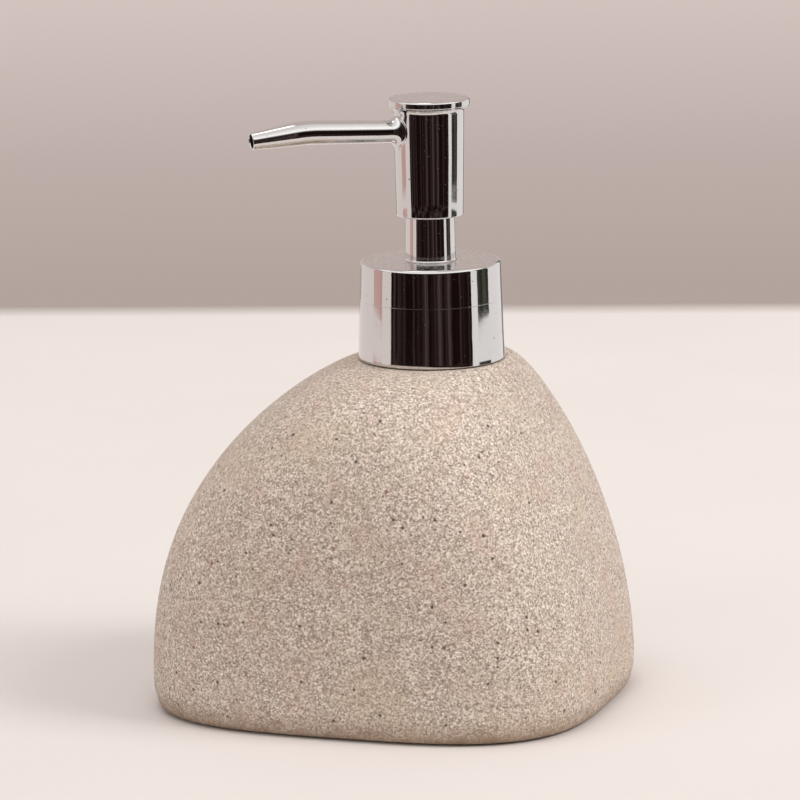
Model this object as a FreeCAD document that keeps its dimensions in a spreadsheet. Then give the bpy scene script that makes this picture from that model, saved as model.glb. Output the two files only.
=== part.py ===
import FreeCAD, Part
import math
import os
import Sketcher
from FreeCAD import Placement, Rotation, Vector

# Soap pump dispenser: a cast stone-look bottle with a chromed screw-on pump.
# Millimetres, +Z up, z = 0 on the table under the pad, the bottle's front towards -Y.
# Heights in the outlines are above the table, radii are from the pump's axis.

SIZES = [
    # bottle
    ("body_width", 108.5, "bottle along X"),
    ("body_depth", 96.0, "bottle along Y"),
    ("land_height", 82.0, "flat land under the closure, above the table"),
    ("stand_off", 0.5, "casting's underside above the table"),
    ("neck_x", 10.0, "pump axis, right of the middle of the base"),
    ("left_rise", 2.34, "left shoulder's fullness"),
    ("left_round", 1.33, "left shoulder's roundness"),
    ("right_rise", 1.81, "right shoulder's fullness"),
    ("right_round", 1.14, "right shoulder's roundness"),
    ("front_rise", 4.28, "front and back shoulder's fullness"),
    ("front_round", 2.74, "front and back shoulder's roundness"),
    ("plan_square", 3.24, "squareness of the base outline, 2 is an ellipse"),
    ("base_round_wide", 2.2, "rounding under the bottle, inwards"),
    ("base_round_high", 7.0, "rounding under the bottle, upwards"),
    ("wall", 8.0, "casting's side wall"),
    ("roof", 7.0, "casting under the land"),
    ("plate_inset", 5.5, "casting's rim around the base plate"),
    ("plate_thick", 4.0, "base plate"),
    ("pad_thick", 1.5, "anti-slip pad"),
    ("pad_inset", 1.0, "pad's rim inside the base plate's"),
    ("glue_gap", 0.1, "glued pieces to the casting, each side"),
    # neck insert
    ("neck_bore", 21.6, "way in for refilling"),
    ("neck_wall", 1.8, "neck's wall between its threads"),
    ("neck_tall", 17.3, "neck above the land"),
    ("insert_step", 0.4, "glued part outside the neck's root"),
    ("insert_deep", 9.5, "glued part below the land"),
    ("flange_wide", 2.2, "flange let into the land, beyond the glued part"),
    ("flange_thick", 1.5, "that flange"),
    ("thread_pitch", 4.23, "closure thread"),
    ("thread_turns", 1.4, "turns of each thread"),
    ("thread_deep", 1.05, "thread rib above its root"),
    ("thread_base", 2.2, "thread rib at its foot"),
    ("thread_tip", 1.1, "thread rib at its crest"),
    ("thread_down", 3.0, "plain neck above the thread"),
    ("thread_gap", 0.3, "between the two threads"),
    ("thread_sink", 0.1, "rib's foot sunk into the wall that carries it"),
    # closure
    ("closure_lift", 0.3, "closure above the land"),
    ("closure_draft", 0.7, "closure shell wider at its bottom, each side"),
    ("land_margin", 0.6, "land beyond the closure"),
    ("shell_wall", 0.9, "closure shell's side"),
    ("shell_roof", 1.0, "closure shell's top"),
    ("shell_edge", 0.9, "rounding of its top edge"),
    ("chimney_wall", 0.8, "chimney at its top"),
    ("chimney_draft", 0.175, "chimney wider at its foot, each side"),
    ("chimney_foot", 0.5, "rounding at the chimney's foot"),
    ("chimney_overlap", 2.4, "chimney inside the barrel at rest"),
    ("nut_wall", 1.6, "nut outside its thread's root"),
    ("nut_gap", 0.1, "nut to the shell around it"),
    ("nut_roof", 1.8, "nut's top"),
    ("nut_short", 1.5, "nut stops above the shell's rim"),
    ("nut_hole_gap", 0.4, "nut's top around the guide bush"),
    # clearances that every moving piece shares
    ("running_gap", 0.05, "radius to radius where pieces slide"),
    ("rest_gap", 0.3, "faces that stop one another"),
    ("seat_gap", 0.1, "valve faces and spring ends at rest"),
    ("turn_gap", 0.2, "closure's nut above the housing's flange"),
    # pump
    ("stroke", 10.0, "pump stroke"),
    ("gasket_thick", 1.5, "gasket"),
    ("gasket_in", 0.3, "gasket inside the neck's root, each side"),
    ("flange_in", 0.5, "housing's flange inside the neck's root, each side"),
    ("housing_flange_thick", 1.6, "housing's flange"),
    ("housing_wall", 1.0, "pump cylinder's wall"),
    ("vent_dia", 0.8, "air vent through the housing"),
    ("vent_down", 3.0, "air vent below the flange"),
    ("cap_lip", 1.9, "guide bush's flange beyond the cylinder's bore"),
    ("cap_long", 8.9, "guide bush inside the cylinder"),
    ("stem_dia", 7.0, "stem"),
    ("stem_wall", 1.4, "stem's wall"),
    ("stem_step", 0.9, "stem drawn in inside the piston, each side"),
    ("stem_low_wall", 0.8, "stem's wall there"),
    ("collar_gap", 0.6, "stem's collar to the cylinder"),
    ("collar_thick", 1.5, "stem's collar"),
    ("piston_thick", 2.6, "stem to cylinder, where the piston slides"),
    ("piston_long", 7.0, "piston"),
    ("piston_play", 0.8, "piston's travel on the stem"),
    ("piston_waist_in", 0.5, "piston drawn in between its lips"),
    ("sleeve_wall", 1.1, "piston's inner sleeve"),
    ("lip_wall", 0.6, "piston's lips"),
    ("lip_tall", 1.6, "piston's lips"),
    ("lip_set_back", 0.3, "lips short of the piston's ends"),
    ("lip_slope", 0.7, "slope behind each lip"),
    ("piston_relief", 0.5, "way round the stem under the ports"),
    ("port_dia", 1.2, "ports through stem and shank"),
    ("port_up", 1.2, "ports above the seat"),
    ("seat_in", 0.9, "stem foot's seat to the cylinder"),
    ("seat_thick", 1.4, "stem foot's seat"),
    ("shank_long", 5.6, "stem foot's shank inside the stem"),
    ("bead_up", 3.4, "snap groove above the seat"),
    ("bead_tall", 0.9, "snap groove"),
    ("bead_deep", 0.25, "snap groove"),
    ("spigot_long", 6.0, "stem foot's spigot inside the spring"),
    ("spigot_gap", 0.35, "spigot to the spring"),
    ("spring_wire", 0.9, "return spring"),
    ("spring_in", 0.25, "return spring inside the seat's rim"),
    ("spring_turns", 10.0, "return spring"),
    ("spring_pressed", 13.9, "return spring's room when pressed"),
    ("ball_dia", 5.0, "inlet ball"),
    ("ball_rise", 1.2, "inlet ball's lift"),
    ("ball_gap", 0.8, "chamber around the ball"),
    ("seat_margin", 0.07, "ball's seat beyond the inlet hole"),
    ("inlet_long", 1.0, "inlet hole"),
    ("cage_thick", 2.4, "ball cage"),
    ("cage_boss", 2.0, "ball cage's boss inside the spring"),
    ("cage_hole", 1.9, "flow holes in the cage"),
    ("cage_hole_in", 0.3, "flow holes inside the spring's wire"),
    ("cage_hole_wall", 0.4, "flow holes to the boss"),
    ("tube_dia", 6.0, "dip tube"),
    ("tube_wall", 0.9, "dip tube"),
    ("tube_clear", 3.0, "dip tube above the bottle's floor"),
    ("socket_long", 10.0, "dip tube in the housing"),
    ("socket_wall", 1.2, "housing around the dip tube"),
    # head
    ("press_gap", 0.6, "barrel above the closure when pressed"),
    ("crown_tall", 15.0, "core's underside to the head's top"),
    ("barrel_gap", 0.525, "barrel around the chimney's foot"),
    ("barrel_wall", 1.4, "barrel at its bottom"),
    ("barrel_draft", 0.45, "barrel wider under the flare, each side"),
    ("flare_out", 1.15, "flare beyond the barrel, each side"),
    ("flare_round", 2.4, "flare's hollow, which starts along the barrel's side"),
    ("flare_rim", 0.4, "straight rim above the flare"),
    ("cap_rim", 0.175, "head cap beyond the flare, each side"),
    ("cap_disc_thick", 1.7, "head cap"),
    ("cap_edge", 0.6, "head cap's rounded edge"),
    ("cap_plug", 2.2, "head cap's spigot in the barrel"),
    ("core_gap", 0.05, "core and cap in the barrel"),
    ("core_wall", 1.2, "core's sleeve around the stem"),
    ("sleeve_gap", 0.3, "core's sleeve to the chimney"),
    ("press_fit", 0.01, "pieces pressed together"),
    ("stem_seat", 10.8, "stem's top below the head's top"),
    ("channel_dia", 3.0, "soap channel in the core"),
    ("spout_drop", 7.35, "spout's middle below the head's top"),
    ("spout_heading", 218.4, "spout's heading, degrees about +Z from +X"),
    ("spout_root", 5.4, "spout at the barrel"),
    ("spout_bend_dia", 5.7, "spout at its bend"),
    ("spout_tip", 4.1, "spout at its tip"),
    ("spout_bore", 3.2, "spout inside"),
    ("spout_reach", 43.8, "pump axis to the spout's tip"),
    ("spout_straight", 28.2, "pump axis to the start of the bend"),
    ("spout_bend_long", 5.0, "bend, along the level"),
    ("spout_turn_long", 3.0, "turn upwards beyond the flare, along the level"),
    ("spout_rise", 2.9, "spout's rise from there to its bend, degrees"),
    ("spout_down", 5.6, "spout's fall beyond the bend, degrees"),
    ("spout_flare", 0.9, "flare where the spout leaves the barrel"),
    ("spout_insert", 3.6, "pump axis to the spout's inner end"),
]

doc = FreeCAD.newDocument("soap_pump_dispenser")
dims = doc.addObject("Spreadsheet::Sheet", "dims")
for row, (alias, number, meaning) in enumerate(SIZES, start=1):
    dims.set(f"A{row}", meaning)
    dims.set(f"B{row}", str(number))
    dims.setAlias(f"B{row}", alias)
doc.recompute()


def d(alias):
    """A sheet cell inside an expression."""
    return f"dims.{alias}"


def half(alias):
    """Half a diameter inside an expression."""
    return f"dims.{alias} / 2"


def size(alias):
    """A sheet cell as a number, for shapes set in code."""
    return float(getattr(dims, alias))


# Levels above the table, each worked out from the sheet.
FLOOR = "(dims.pad_thick + dims.plate_thick)"
LAND = d("land_height")
NECK_TOP = f"({LAND} + dims.neck_tall)"
FLANGE_LOW = f"({NECK_TOP} + dims.gasket_thick)"
FLANGE_TOP = f"({FLANGE_LOW} + dims.housing_flange_thick)"
SHELL_LOW = f"({LAND} + dims.closure_lift)"
NUT_LOW = f"({SHELL_LOW} + dims.nut_short)"
NUT_ROOF = f"({FLANGE_TOP} + dims.turn_gap)"
SHELL_ROOF = f"({NUT_ROOF} + dims.nut_roof)"
SHELL_TOP = f"({SHELL_ROOF} + dims.shell_roof)"
BUSH_TOP = f"({SHELL_ROOF} - dims.rest_gap)"
BUSH_LOW = f"({FLANGE_TOP} - dims.cap_long)"
COLLAR_TOP = f"({BUSH_LOW} - dims.rest_gap)"
COLLAR_LOW = f"({COLLAR_TOP} - dims.collar_thick)"
PISTON_TOP = f"({COLLAR_LOW} - dims.piston_play - dims.seat_gap)"
PISTON_LOW = f"({PISTON_TOP} - dims.piston_long)"
SEAT_TOP = f"({PISTON_LOW} - dims.seat_gap)"
SEAT_LOW = f"({SEAT_TOP} - dims.seat_thick)"
PORT_LEVEL = f"({SEAT_TOP} + dims.port_up)"
GROOVE_LOW = f"({SEAT_TOP} + dims.bead_up)"
GROOVE_TOP = f"({GROOVE_LOW} + dims.bead_tall)"
CYLINDER_LOW = f"({SEAT_LOW} - dims.stroke - dims.spring_pressed)"
SPRING_LOW = f"({CYLINDER_LOW} + dims.spring_wire / 2 + dims.seat_gap)"
SPRING_HIGH = f"({SEAT_LOW} - dims.spring_wire / 2 - dims.seat_gap)"
CAGE_LOW = f"({CYLINDER_LOW} - dims.cage_thick)"
BALL_MIDDLE = f"({CAGE_LOW} - dims.ball_rise - dims.seat_gap - dims.ball_dia / 2)"
BARREL_LOW = f"({SHELL_TOP} + dims.stroke + dims.press_gap)"
CHIMNEY_TOP = f"({BARREL_LOW} + dims.chimney_overlap)"
CORE_LOW = f"({CHIMNEY_TOP} + dims.stroke + dims.rest_gap)"
SLEEVE_LOW = f"({BUSH_TOP} + dims.stroke + dims.rest_gap)"
HEAD_TOP = f"({CORE_LOW} + dims.crown_tall)"
CAP_LOW = f"({HEAD_TOP} - dims.cap_disc_thick)"
CORE_TOP = f"({CAP_LOW} - dims.cap_plug)"
STEM_TOP = f"({HEAD_TOP} - dims.stem_seat)"
SPOUT_LEVEL = f"({HEAD_TOP} - dims.spout_drop)"

# Radii from the pump's axis, each built on the one it fits around or inside.
NECK_BORE = half("neck_bore")
NECK_ROOT = f"({NECK_BORE} + dims.neck_wall)"
NECK_CREST = f"({NECK_ROOT} + dims.thread_deep)"
INSERT_ROOT = f"({NECK_ROOT} + dims.insert_step)"
INSERT_FLANGE = f"({INSERT_ROOT} + dims.flange_wide)"
NUT_ROOT = f"({NECK_CREST} + dims.thread_gap)"
NUT_CREST = f"({NECK_ROOT} + dims.thread_gap)"
NUT_OUTSIDE = f"({NUT_ROOT} + dims.nut_wall)"
CLOSURE_TOP = f"({NUT_OUTSIDE} + dims.nut_gap + dims.shell_wall)"
CLOSURE_BASE = f"({CLOSURE_TOP} + dims.closure_draft)"
LAND_RADIUS = f"({CLOSURE_BASE} + dims.land_margin)"
STEM = half("stem_dia")
STEM_BORE = f"({STEM} - dims.stem_wall)"
STEM_LOW = f"({STEM} - dims.stem_step)"
STEM_LOW_BORE = f"({STEM_LOW} - dims.stem_low_wall)"
CYLINDER = f"({STEM_LOW} + dims.piston_thick)"
HOUSING = f"({CYLINDER} + dims.housing_wall)"
GUIDED = f"({CYLINDER} - dims.running_gap)"
BUSH_FLANGE = f"({CYLINDER} + dims.cap_lip)"
NUT_HOLE = f"({BUSH_FLANGE} + dims.nut_hole_gap)"
GUIDE_BORE = f"({STEM} + dims.running_gap)"
CORE_SLEEVE = f"({STEM} + dims.core_wall)"
CHIMNEY_BORE = f"({CORE_SLEEVE} + dims.sleeve_gap)"
CHIMNEY_OUTSIDE = f"({CHIMNEY_BORE} + dims.chimney_wall)"
CHIMNEY_BASE = f"({CHIMNEY_OUTSIDE} + dims.chimney_draft)"
BARREL_BORE = f"({CHIMNEY_BASE} + dims.barrel_gap)"
BARREL_BASE = f"({BARREL_BORE} + dims.barrel_wall)"
BARREL = f"({BARREL_BASE} + dims.barrel_draft)"
FLARE = f"({BARREL} + dims.flare_out)"
CAP_DISC = f"({FLARE} + dims.cap_rim)"
CORE = f"({BARREL_BORE} - dims.core_gap)"
GASKET = f"({NECK_ROOT} - dims.gasket_in)"
HOUSING_FLANGE = f"({NECK_ROOT} - dims.flange_in)"
SEAT = f"({CYLINDER} - dims.seat_in)"
SPRING = f"({SEAT} - dims.spring_in - dims.spring_wire / 2)"
SPIGOT = f"({SPRING} - dims.spring_wire / 2 - dims.spigot_gap)"
TUBE = half("tube_dia")
TUBE_BORE = f"({TUBE} - dims.tube_wall)"
SOCKET = f"({TUBE} + dims.socket_wall)"
BALL_ROOM = f"({half('ball_dia')} + dims.ball_gap)"
CAGE_PITCH = f"({SPRING} - dims.cage_hole_in)"
CAGE_BOSS = f"({CAGE_PITCH} - dims.cage_hole / 2 - dims.cage_hole_wall)"

# The ball's seat is a 45 degree cone that touches the ball at this share of its radius.
CONE_TOUCH = "sqrt(0.5)"
INLET = f"({half('ball_dia')} * {CONE_TOUCH} - dims.seat_margin)"
INLET_TOP = f"({BALL_MIDDLE} - dims.ball_dia * {CONE_TOUCH} + {INLET} - dims.seat_gap)"
CHAMBER_LOW = f"({INLET_TOP} + {BALL_ROOM} - {INLET})"
SOCKET_TOP = f"({INLET_TOP} - dims.inlet_long)"
SOCKET_LOW = f"({SOCKET_TOP} - dims.socket_long)"


def number(expression):
    """The value of an expression over the sheet."""
    return float(dims.evalExpression(expression))


def origin_plane(body, role):
    return next(plane for plane in body.Origin.OriginFeatures if plane.Role == role)


def new_sketch(body, name, role):
    """A sketch on one of its body's own origin planes."""
    sketch = body.newObject("Sketcher::SketchObject", name)
    sketch.AttachmentSupport = [(origin_plane(body, role), "")]
    sketch.MapMode = "FlatFace"
    return sketch


def fix_point(sketch, edge, end, tag, across, along):
    """Tie one end of a sketch edge to its two expressions."""
    for kind, expression in (("DistanceX", across), ("DistanceY", along)):
        place = number(expression)
        rule = Sketcher.Constraint(kind, -1, 1, edge, end, place)
        index = sketch.addConstraint(rule)
        label = f"{kind}_{tag}"
        sketch.renameConstraint(index, label)
        sketch.setExpression(f"Constraints.{label}", expression)


def arc_through(start, finish, radius, side):
    """Arc from start to finish; side 1 keeps the centre on the left of the way, -1 on its right."""
    chord = finish - start
    across = Vector(-chord.y, chord.x, 0).normalize()
    rise = math.sqrt(radius ** 2 - (chord.Length / 2) ** 2)
    centre = (start + finish) * 0.5 + across * rise * side
    first, last = (start, finish) if side > 0 else (finish, start)
    angles = [math.atan2(p.y - centre.y, p.x - centre.x) for p in (first, last)]
    circle = Part.Circle(centre, Vector(0, 0, 1), radius)
    return Part.ArcOfCircle(circle, angles[0], angles[1])


def draw_outline(sketch, outline):
    """Closed outline of (radius, height) expressions.

    An entry with two more items, (radius, height, arc radius, side), starts an arc to the next
    entry instead of a straight line.
    """
    points = [Vector(number(entry[0]), number(entry[1]), 0) for entry in outline]
    count = len(outline)
    ends = []
    for index, entry in enumerate(outline):
        start = points[index]
        finish = points[(index + 1) % count]
        if len(entry) == 4:
            edge = sketch.addGeometry(arc_through(start, finish, number(entry[2]), entry[3]), False)
            ends.append((1, 2) if entry[3] > 0 else (2, 1))
        else:
            edge = sketch.addGeometry(Part.LineSegment(start, finish), False)
            ends.append((1, 2))
    for index, entry in enumerate(outline):
        after = (index + 1) % count
        sketch.addConstraint(
            Sketcher.Constraint("Coincident", index, ends[index][1], after, ends[after][0])
        )
        fix_point(sketch, index, ends[index][0], f"point_{index}", entry[0], entry[1])
        if len(entry) == 4:
            rule = sketch.addConstraint(Sketcher.Constraint("Radius", index, number(entry[2])))
            sketch.renameConstraint(rule, f"Radius_{index}")
            sketch.setExpression(f"Constraints.Radius_{index}", entry[2])


def on_pump_axis(piece, turned=None, level="0"):
    """Stand a piece on the pump's axis, turned about it where its heading matters."""
    angle = number(turned) if turned else 0
    piece.Placement = Placement(Vector(0, 0, 0), Rotation(Vector(0, 0, 1), angle))
    piece.setExpression("Placement.Base.x", d("neck_x"))
    piece.setExpression("Placement.Base.z", level)
    if turned:
        piece.setExpression("Placement.Rotation.Angle", turned)


def turned_body(label, outline, heading=None):
    """A piece turned about the pump's axis."""
    body = doc.addObject("PartDesign::Body", label)
    body.Label = label
    sketch = new_sketch(body, f"{label}_outline", "XZ_Plane")
    draw_outline(sketch, outline)
    turn = body.newObject("PartDesign::Revolution", f"{label}_turned")
    turn.Profile = sketch
    turn.ReferenceAxis = (sketch, ["V_Axis"])
    turn.Angle = 360
    body.Tip = turn
    on_pump_axis(body, heading)
    doc.recompute()
    return body


def add_circle(sketch, tag, across, along, diameter):
    """A circle tied to its place and diameter."""
    centre = Vector(number(across), number(along), 0)
    edge = sketch.addGeometry(Part.Circle(centre, Vector(0, 0, 1), number(diameter) / 2), False)
    fix_point(sketch, edge, 3, tag, across, along)
    rule = sketch.addConstraint(Sketcher.Constraint("Diameter", edge, number(diameter)))
    sketch.renameConstraint(rule, f"Diameter_{tag}")
    sketch.setExpression(f"Constraints.Diameter_{tag}", diameter)


def cut_hole(body, name, role, across, along, diameter, reach=None):
    """A round hole through an origin plane: both ways through all, or forwards as far as reach."""
    before = body.Shape.Volume
    sketch = new_sketch(body, f"{name}_sketch", role)
    add_circle(sketch, "hole", across, along, diameter)
    pocket = body.newObject("PartDesign::Pocket", name)
    pocket.Profile = sketch
    if reach:
        pocket.Length = number(reach)
        pocket.setExpression("Length", reach)
        pocket.Reversed = True
    else:
        pocket.Type = "ThroughAll"
        pocket.Midplane = True
    body.Tip = pocket
    doc.recompute()
    if not body.Shape.Volume < before:
        raise ValueError(f"{name} cut nothing")
    return pocket


def round_rings(body, name, radius, rings):
    """Round circular edges, found by their (radius, height) expressions."""
    base = body.Tip
    wanted = [(number(ring), number(level)) for ring, level in rings]
    names = []
    for index, edge in enumerate(base.Shape.Edges, start=1):
        curve = edge.Curve
        if isinstance(curve, Part.Circle):
            for ring, level in wanted:
                if abs(curve.Radius - ring) < 0.01 and abs(curve.Center.z - level) < 0.01:
                    names.append(f"Edge{index}")
    if len(names) != len(wanted):
        raise ValueError(f"{name} found {len(names)} of {len(wanted)} edges")
    fillet = body.newObject("PartDesign::Fillet", name)
    fillet.Base = (base, names)
    fillet.Radius = number(radius)
    fillet.setExpression("Radius", radius)
    body.Tip = fillet
    doc.recompute()


def wind_thread(body, name, outline):
    """Add a helical rib, right-handed and climbing, to a turned body."""
    sketch = new_sketch(body, f"{name}_section", "XZ_Plane")
    draw_outline(sketch, outline)
    helix = body.newObject("PartDesign::AdditiveHelix", name)
    helix.Profile = sketch
    helix.ReferenceAxis = (sketch, ["V_Axis"])
    helix.Mode = "pitch-height-angle"
    helix.Pitch = size("thread_pitch")
    helix.Height = size("thread_pitch") * size("thread_turns")
    helix.setExpression("Pitch", d("thread_pitch"))
    helix.setExpression("Height", "dims.thread_pitch * dims.thread_turns")
    helix.LeftHanded = False
    helix.Reversed = False
    body.Tip = helix
    doc.recompute()


# ---- the casting and what is glued to it ----

def superellipse(middle, half_x, half_y, squareness, level):
    """Closed outline |x/a|^n + |y/b|^n = 1 at one height, its middle on the X axis."""
    count = 48
    points = []
    for step in range(count):
        angle = 2 * math.pi * step / count
        cosine = math.cos(angle)
        sine = math.sin(angle)
        across = math.copysign(abs(cosine) ** (2 / squareness), cosine)
        along = math.copysign(abs(sine) ** (2 / squareness), sine)
        points.append(Vector(middle + half_x * across, half_y * along, level))
    curve = Part.BSplineCurve()
    curve.interpolate(points, PeriodicFlag=True)
    return Part.Wire([curve.toShape()])


def shoulder(base, land, share, rise, roundness):
    """Half-extent at a share of the height: full at the base, drawn in to the land."""
    return land + (base - land) * max(0.0, 1 - share ** rise) ** (1 / roundness)


def pebble_section(level, top, full, inset):
    """One level outline of the bottle, or of its cavity when it is inset by the wall.

    The outline is at its fullest up to the height full, and is drawn in from there to the top.
    """
    share = max(0.0, (level - full) / (top - full))
    base_x = size("body_width") / 2 - inset
    base_y = size("body_depth") / 2 - inset
    land = number(LAND_RADIUS) - inset
    neck_x = size("neck_x")
    left = shoulder(base_x + neck_x, land, share, size("left_rise"), size("left_round"))
    right = shoulder(base_x - neck_x, land, share, size("right_rise"), size("right_round"))
    deep = shoulder(base_y, land, share, size("front_rise"), size("front_round"))
    middle = neck_x + (right - left) / 2
    squareness = size("plan_square") + (2 - size("plan_square")) * share ** 2
    return middle, (left + right) / 2, deep, squareness


def pebble(low, top, inset, edge_wide, edge_high):
    """Solid between two levels, its bottom edge rounded as a quarter ellipse."""
    full = low + edge_high
    rounding_steps = 6 if edge_wide else 0
    rising_steps = 18
    sections = []
    for step in range(rounding_steps + rising_steps + 1):
        if step < rounding_steps:
            angle = math.pi / 2 * step / rounding_steps
            level = full - edge_high * math.cos(angle)
            drawn_in = edge_wide * (1 - math.sin(angle))
        else:
            climb = math.sin(math.pi / 2 * (step - rounding_steps) / rising_steps)
            level = full + (top - full) * climb
            drawn_in = 0
        middle, half_x, half_y, squareness = pebble_section(level, top, full, inset)
        half_x -= drawn_in
        half_y -= drawn_in
        sections.append(superellipse(middle, half_x, half_y, squareness, level))
    cubic = 3
    return Part.makeLoft(sections, True, False, False, cubic)


def upright(radius, low, high):
    """Cylinder on the pump's axis."""
    axis = Vector(size("neck_x"), 0, low)
    return Part.makeCylinder(radius, high - low, axis, Vector(0, 0, 1))


def plate_slab(low, high, gap):
    """Flat slab with the base's outline, inside the casting's rim."""
    inset = size("plate_inset") + gap
    half_x = size("body_width") / 2 - inset
    half_y = size("body_depth") / 2 - inset
    outline = superellipse(0, half_x, half_y, size("plan_square"), low)
    return Part.Face(outline).extrude(Vector(0, 0, high - low))


def shaped(label, shape):
    """A piece whose shape is set in code, standing where it was worked out."""
    piece = doc.addObject("Part::Feature", label)
    piece.Label = label
    piece.Shape = shape
    piece.Placement = Placement(Vector(0, 0, 0), Rotation())
    return piece


land = size("land_height")
underside = size("stand_off")
ledge = number(FLOOR)
gap = size("glue_gap")

outside = pebble(underside, land, 0, size("base_round_wide"), size("base_round_high"))
cavity = pebble(ledge, land - size("roof"), size("wall"), 0, 0)
casting = outside.cut(cavity)
casting = casting.cut(plate_slab(underside, ledge, 0))
casting = casting.cut(upright(number(INSERT_ROOT) + gap, land - 2 * size("roof"), land))
casting = casting.cut(upright(number(INSERT_FLANGE) + gap, land - size("flange_thick"), 2 * land))
shaped("bottle_shell", casting)
shaped("base_plate", plate_slab(size("pad_thick"), ledge, gap))
shaped("base_pad", plate_slab(0, size("pad_thick"), gap + size("pad_inset")))

RIB_SLOPE = "((dims.thread_base - dims.thread_tip) / 2)"
THREAD_LOW = f"({NECK_TOP} - dims.thread_down - dims.thread_base - dims.thread_turns * dims.thread_pitch)"
neck_insert = turned_body(
    "neck_insert",
    [
        (NECK_BORE, f"{LAND} - dims.insert_deep"),
        (INSERT_ROOT, f"{LAND} - dims.insert_deep"),
        (INSERT_ROOT, f"{LAND} - dims.flange_thick"),
        (INSERT_FLANGE, f"{LAND} - dims.flange_thick"),
        (INSERT_FLANGE, LAND),
        (NECK_ROOT, LAND),
        (NECK_ROOT, NECK_TOP),
        (NECK_BORE, NECK_TOP),
    ],
)
wind_thread(
    neck_insert,
    "neck_thread",
    [
        (f"{NECK_ROOT} - dims.thread_sink", THREAD_LOW),
        (NECK_CREST, f"{THREAD_LOW} + {RIB_SLOPE}"),
        (NECK_CREST, f"{THREAD_LOW} + {RIB_SLOPE} + dims.thread_tip"),
        (f"{NECK_ROOT} - dims.thread_sink", f"{THREAD_LOW} + dims.thread_base"),
    ],
)

# ---- the closure ----

closure_shell = turned_body(
    "closure_shell",
    [
        (CLOSURE_BASE, SHELL_LOW),
        (CLOSURE_TOP, SHELL_TOP),
        (CHIMNEY_BASE, SHELL_TOP),
        (CHIMNEY_OUTSIDE, CHIMNEY_TOP),
        (CHIMNEY_BORE, CHIMNEY_TOP),
        (CHIMNEY_BORE, SHELL_ROOF),
        (f"{CLOSURE_TOP} - dims.shell_wall", SHELL_ROOF),
        (f"{CLOSURE_BASE} - dims.shell_wall", SHELL_LOW),
    ],
)
round_rings(closure_shell, "top_edge", d("shell_edge"), [(CLOSURE_TOP, SHELL_TOP)])
round_rings(closure_shell, "chimney_fillet", d("chimney_foot"), [(CHIMNEY_BASE, SHELL_TOP)])

# The nut's rib lies half a pitch below the neck's, in the middle of its groove.
NUT_RIB = f"({THREAD_LOW} + dims.thread_base / 2 - dims.thread_pitch / 2)"
NUT_RIB_HALF = "(dims.thread_pitch / 2 - dims.thread_base / 2 - dims.thread_gap)"
closure_nut = turned_body(
    "closure_nut",
    [
        (NUT_ROOT, NUT_LOW),
        (NUT_OUTSIDE, NUT_LOW),
        (NUT_OUTSIDE, SHELL_ROOF),
        (NUT_HOLE, SHELL_ROOF),
        (NUT_HOLE, NUT_ROOF),
        (NUT_ROOT, NUT_ROOF),
    ],
)
wind_thread(
    closure_nut,
    "nut_thread",
    [
        (f"{NUT_ROOT} + dims.thread_sink", f"{NUT_RIB} - {NUT_RIB_HALF}"),
        (f"{NUT_ROOT} + dims.thread_sink", f"{NUT_RIB} + {NUT_RIB_HALF}"),
        (NUT_CREST, f"{NUT_RIB} + {NUT_RIB_HALF} / 2"),
        (NUT_CREST, f"{NUT_RIB} - {NUT_RIB_HALF} / 2"),
    ],
)

# ---- the pump, which hangs in the neck by its flange ----

turned_body(
    "gasket",
    [
        (f"{HOUSING} + dims.seat_gap", NECK_TOP),
        (GASKET, NECK_TOP),
        (GASKET, FLANGE_LOW),
        (f"{HOUSING} + dims.seat_gap", FLANGE_LOW),
    ],
)
pump_housing = turned_body(
    "pump_housing",
    [
        (CYLINDER, FLANGE_TOP),
        (CYLINDER, CAGE_LOW),
        (BALL_ROOM, CAGE_LOW),
        (BALL_ROOM, CHAMBER_LOW),
        (INLET, INLET_TOP),
        (INLET, SOCKET_TOP),
        (TUBE, SOCKET_TOP),
        (TUBE, SOCKET_LOW),
        (SOCKET, SOCKET_LOW),
        (SOCKET, INLET_TOP),
        (HOUSING, CAGE_LOW),
        (HOUSING, FLANGE_LOW),
        (HOUSING_FLANGE, FLANGE_LOW),
        (HOUSING_FLANGE, FLANGE_TOP),
    ],
)
cut_hole(
    pump_housing, "air_vent", "XZ_Plane", "0", f"{FLANGE_LOW} - dims.vent_down", d("vent_dia")
)
turned_body(
    "housing_cap",
    [
        (GUIDE_BORE, BUSH_LOW),
        (GUIDED, BUSH_LOW),
        (GUIDED, FLANGE_TOP),
        (BUSH_FLANGE, FLANGE_TOP),
        (BUSH_FLANGE, BUSH_TOP),
        (GUIDE_BORE, BUSH_TOP),
    ],
)
ball_cage = turned_body(
    "ball_cage",
    [
        ("0", CAGE_LOW),
        (GUIDED, CAGE_LOW),
        (GUIDED, CYLINDER_LOW),
        (CAGE_BOSS, CYLINDER_LOW),
        (CAGE_BOSS, f"{CYLINDER_LOW} + dims.cage_boss"),
        ("0", f"{CYLINDER_LOW} + dims.cage_boss"),
    ],
)
flow_hole = cut_hole(ball_cage, "flow_hole", "XY_Plane", CAGE_PITCH, "0", d("cage_hole"))
flow_holes = ball_cage.newObject("PartDesign::PolarPattern", "flow_holes")
flow_holes.Originals = [flow_hole]
flow_holes.Axis = (flow_hole.Profile[0], ["N_Axis"])
flow_holes.Angle = 360
flow_holes.Occurrences = 4
ball_cage.Tip = flow_holes

inlet_ball = doc.addObject("Part::Sphere", "inlet_ball")
inlet_ball.Label = "inlet_ball"
inlet_ball.setExpression("Radius", half("ball_dia"))
inlet_ball.setExpression("Placement.Base.x", d("neck_x"))
inlet_ball.setExpression("Placement.Base.z", BALL_MIDDLE)

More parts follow.
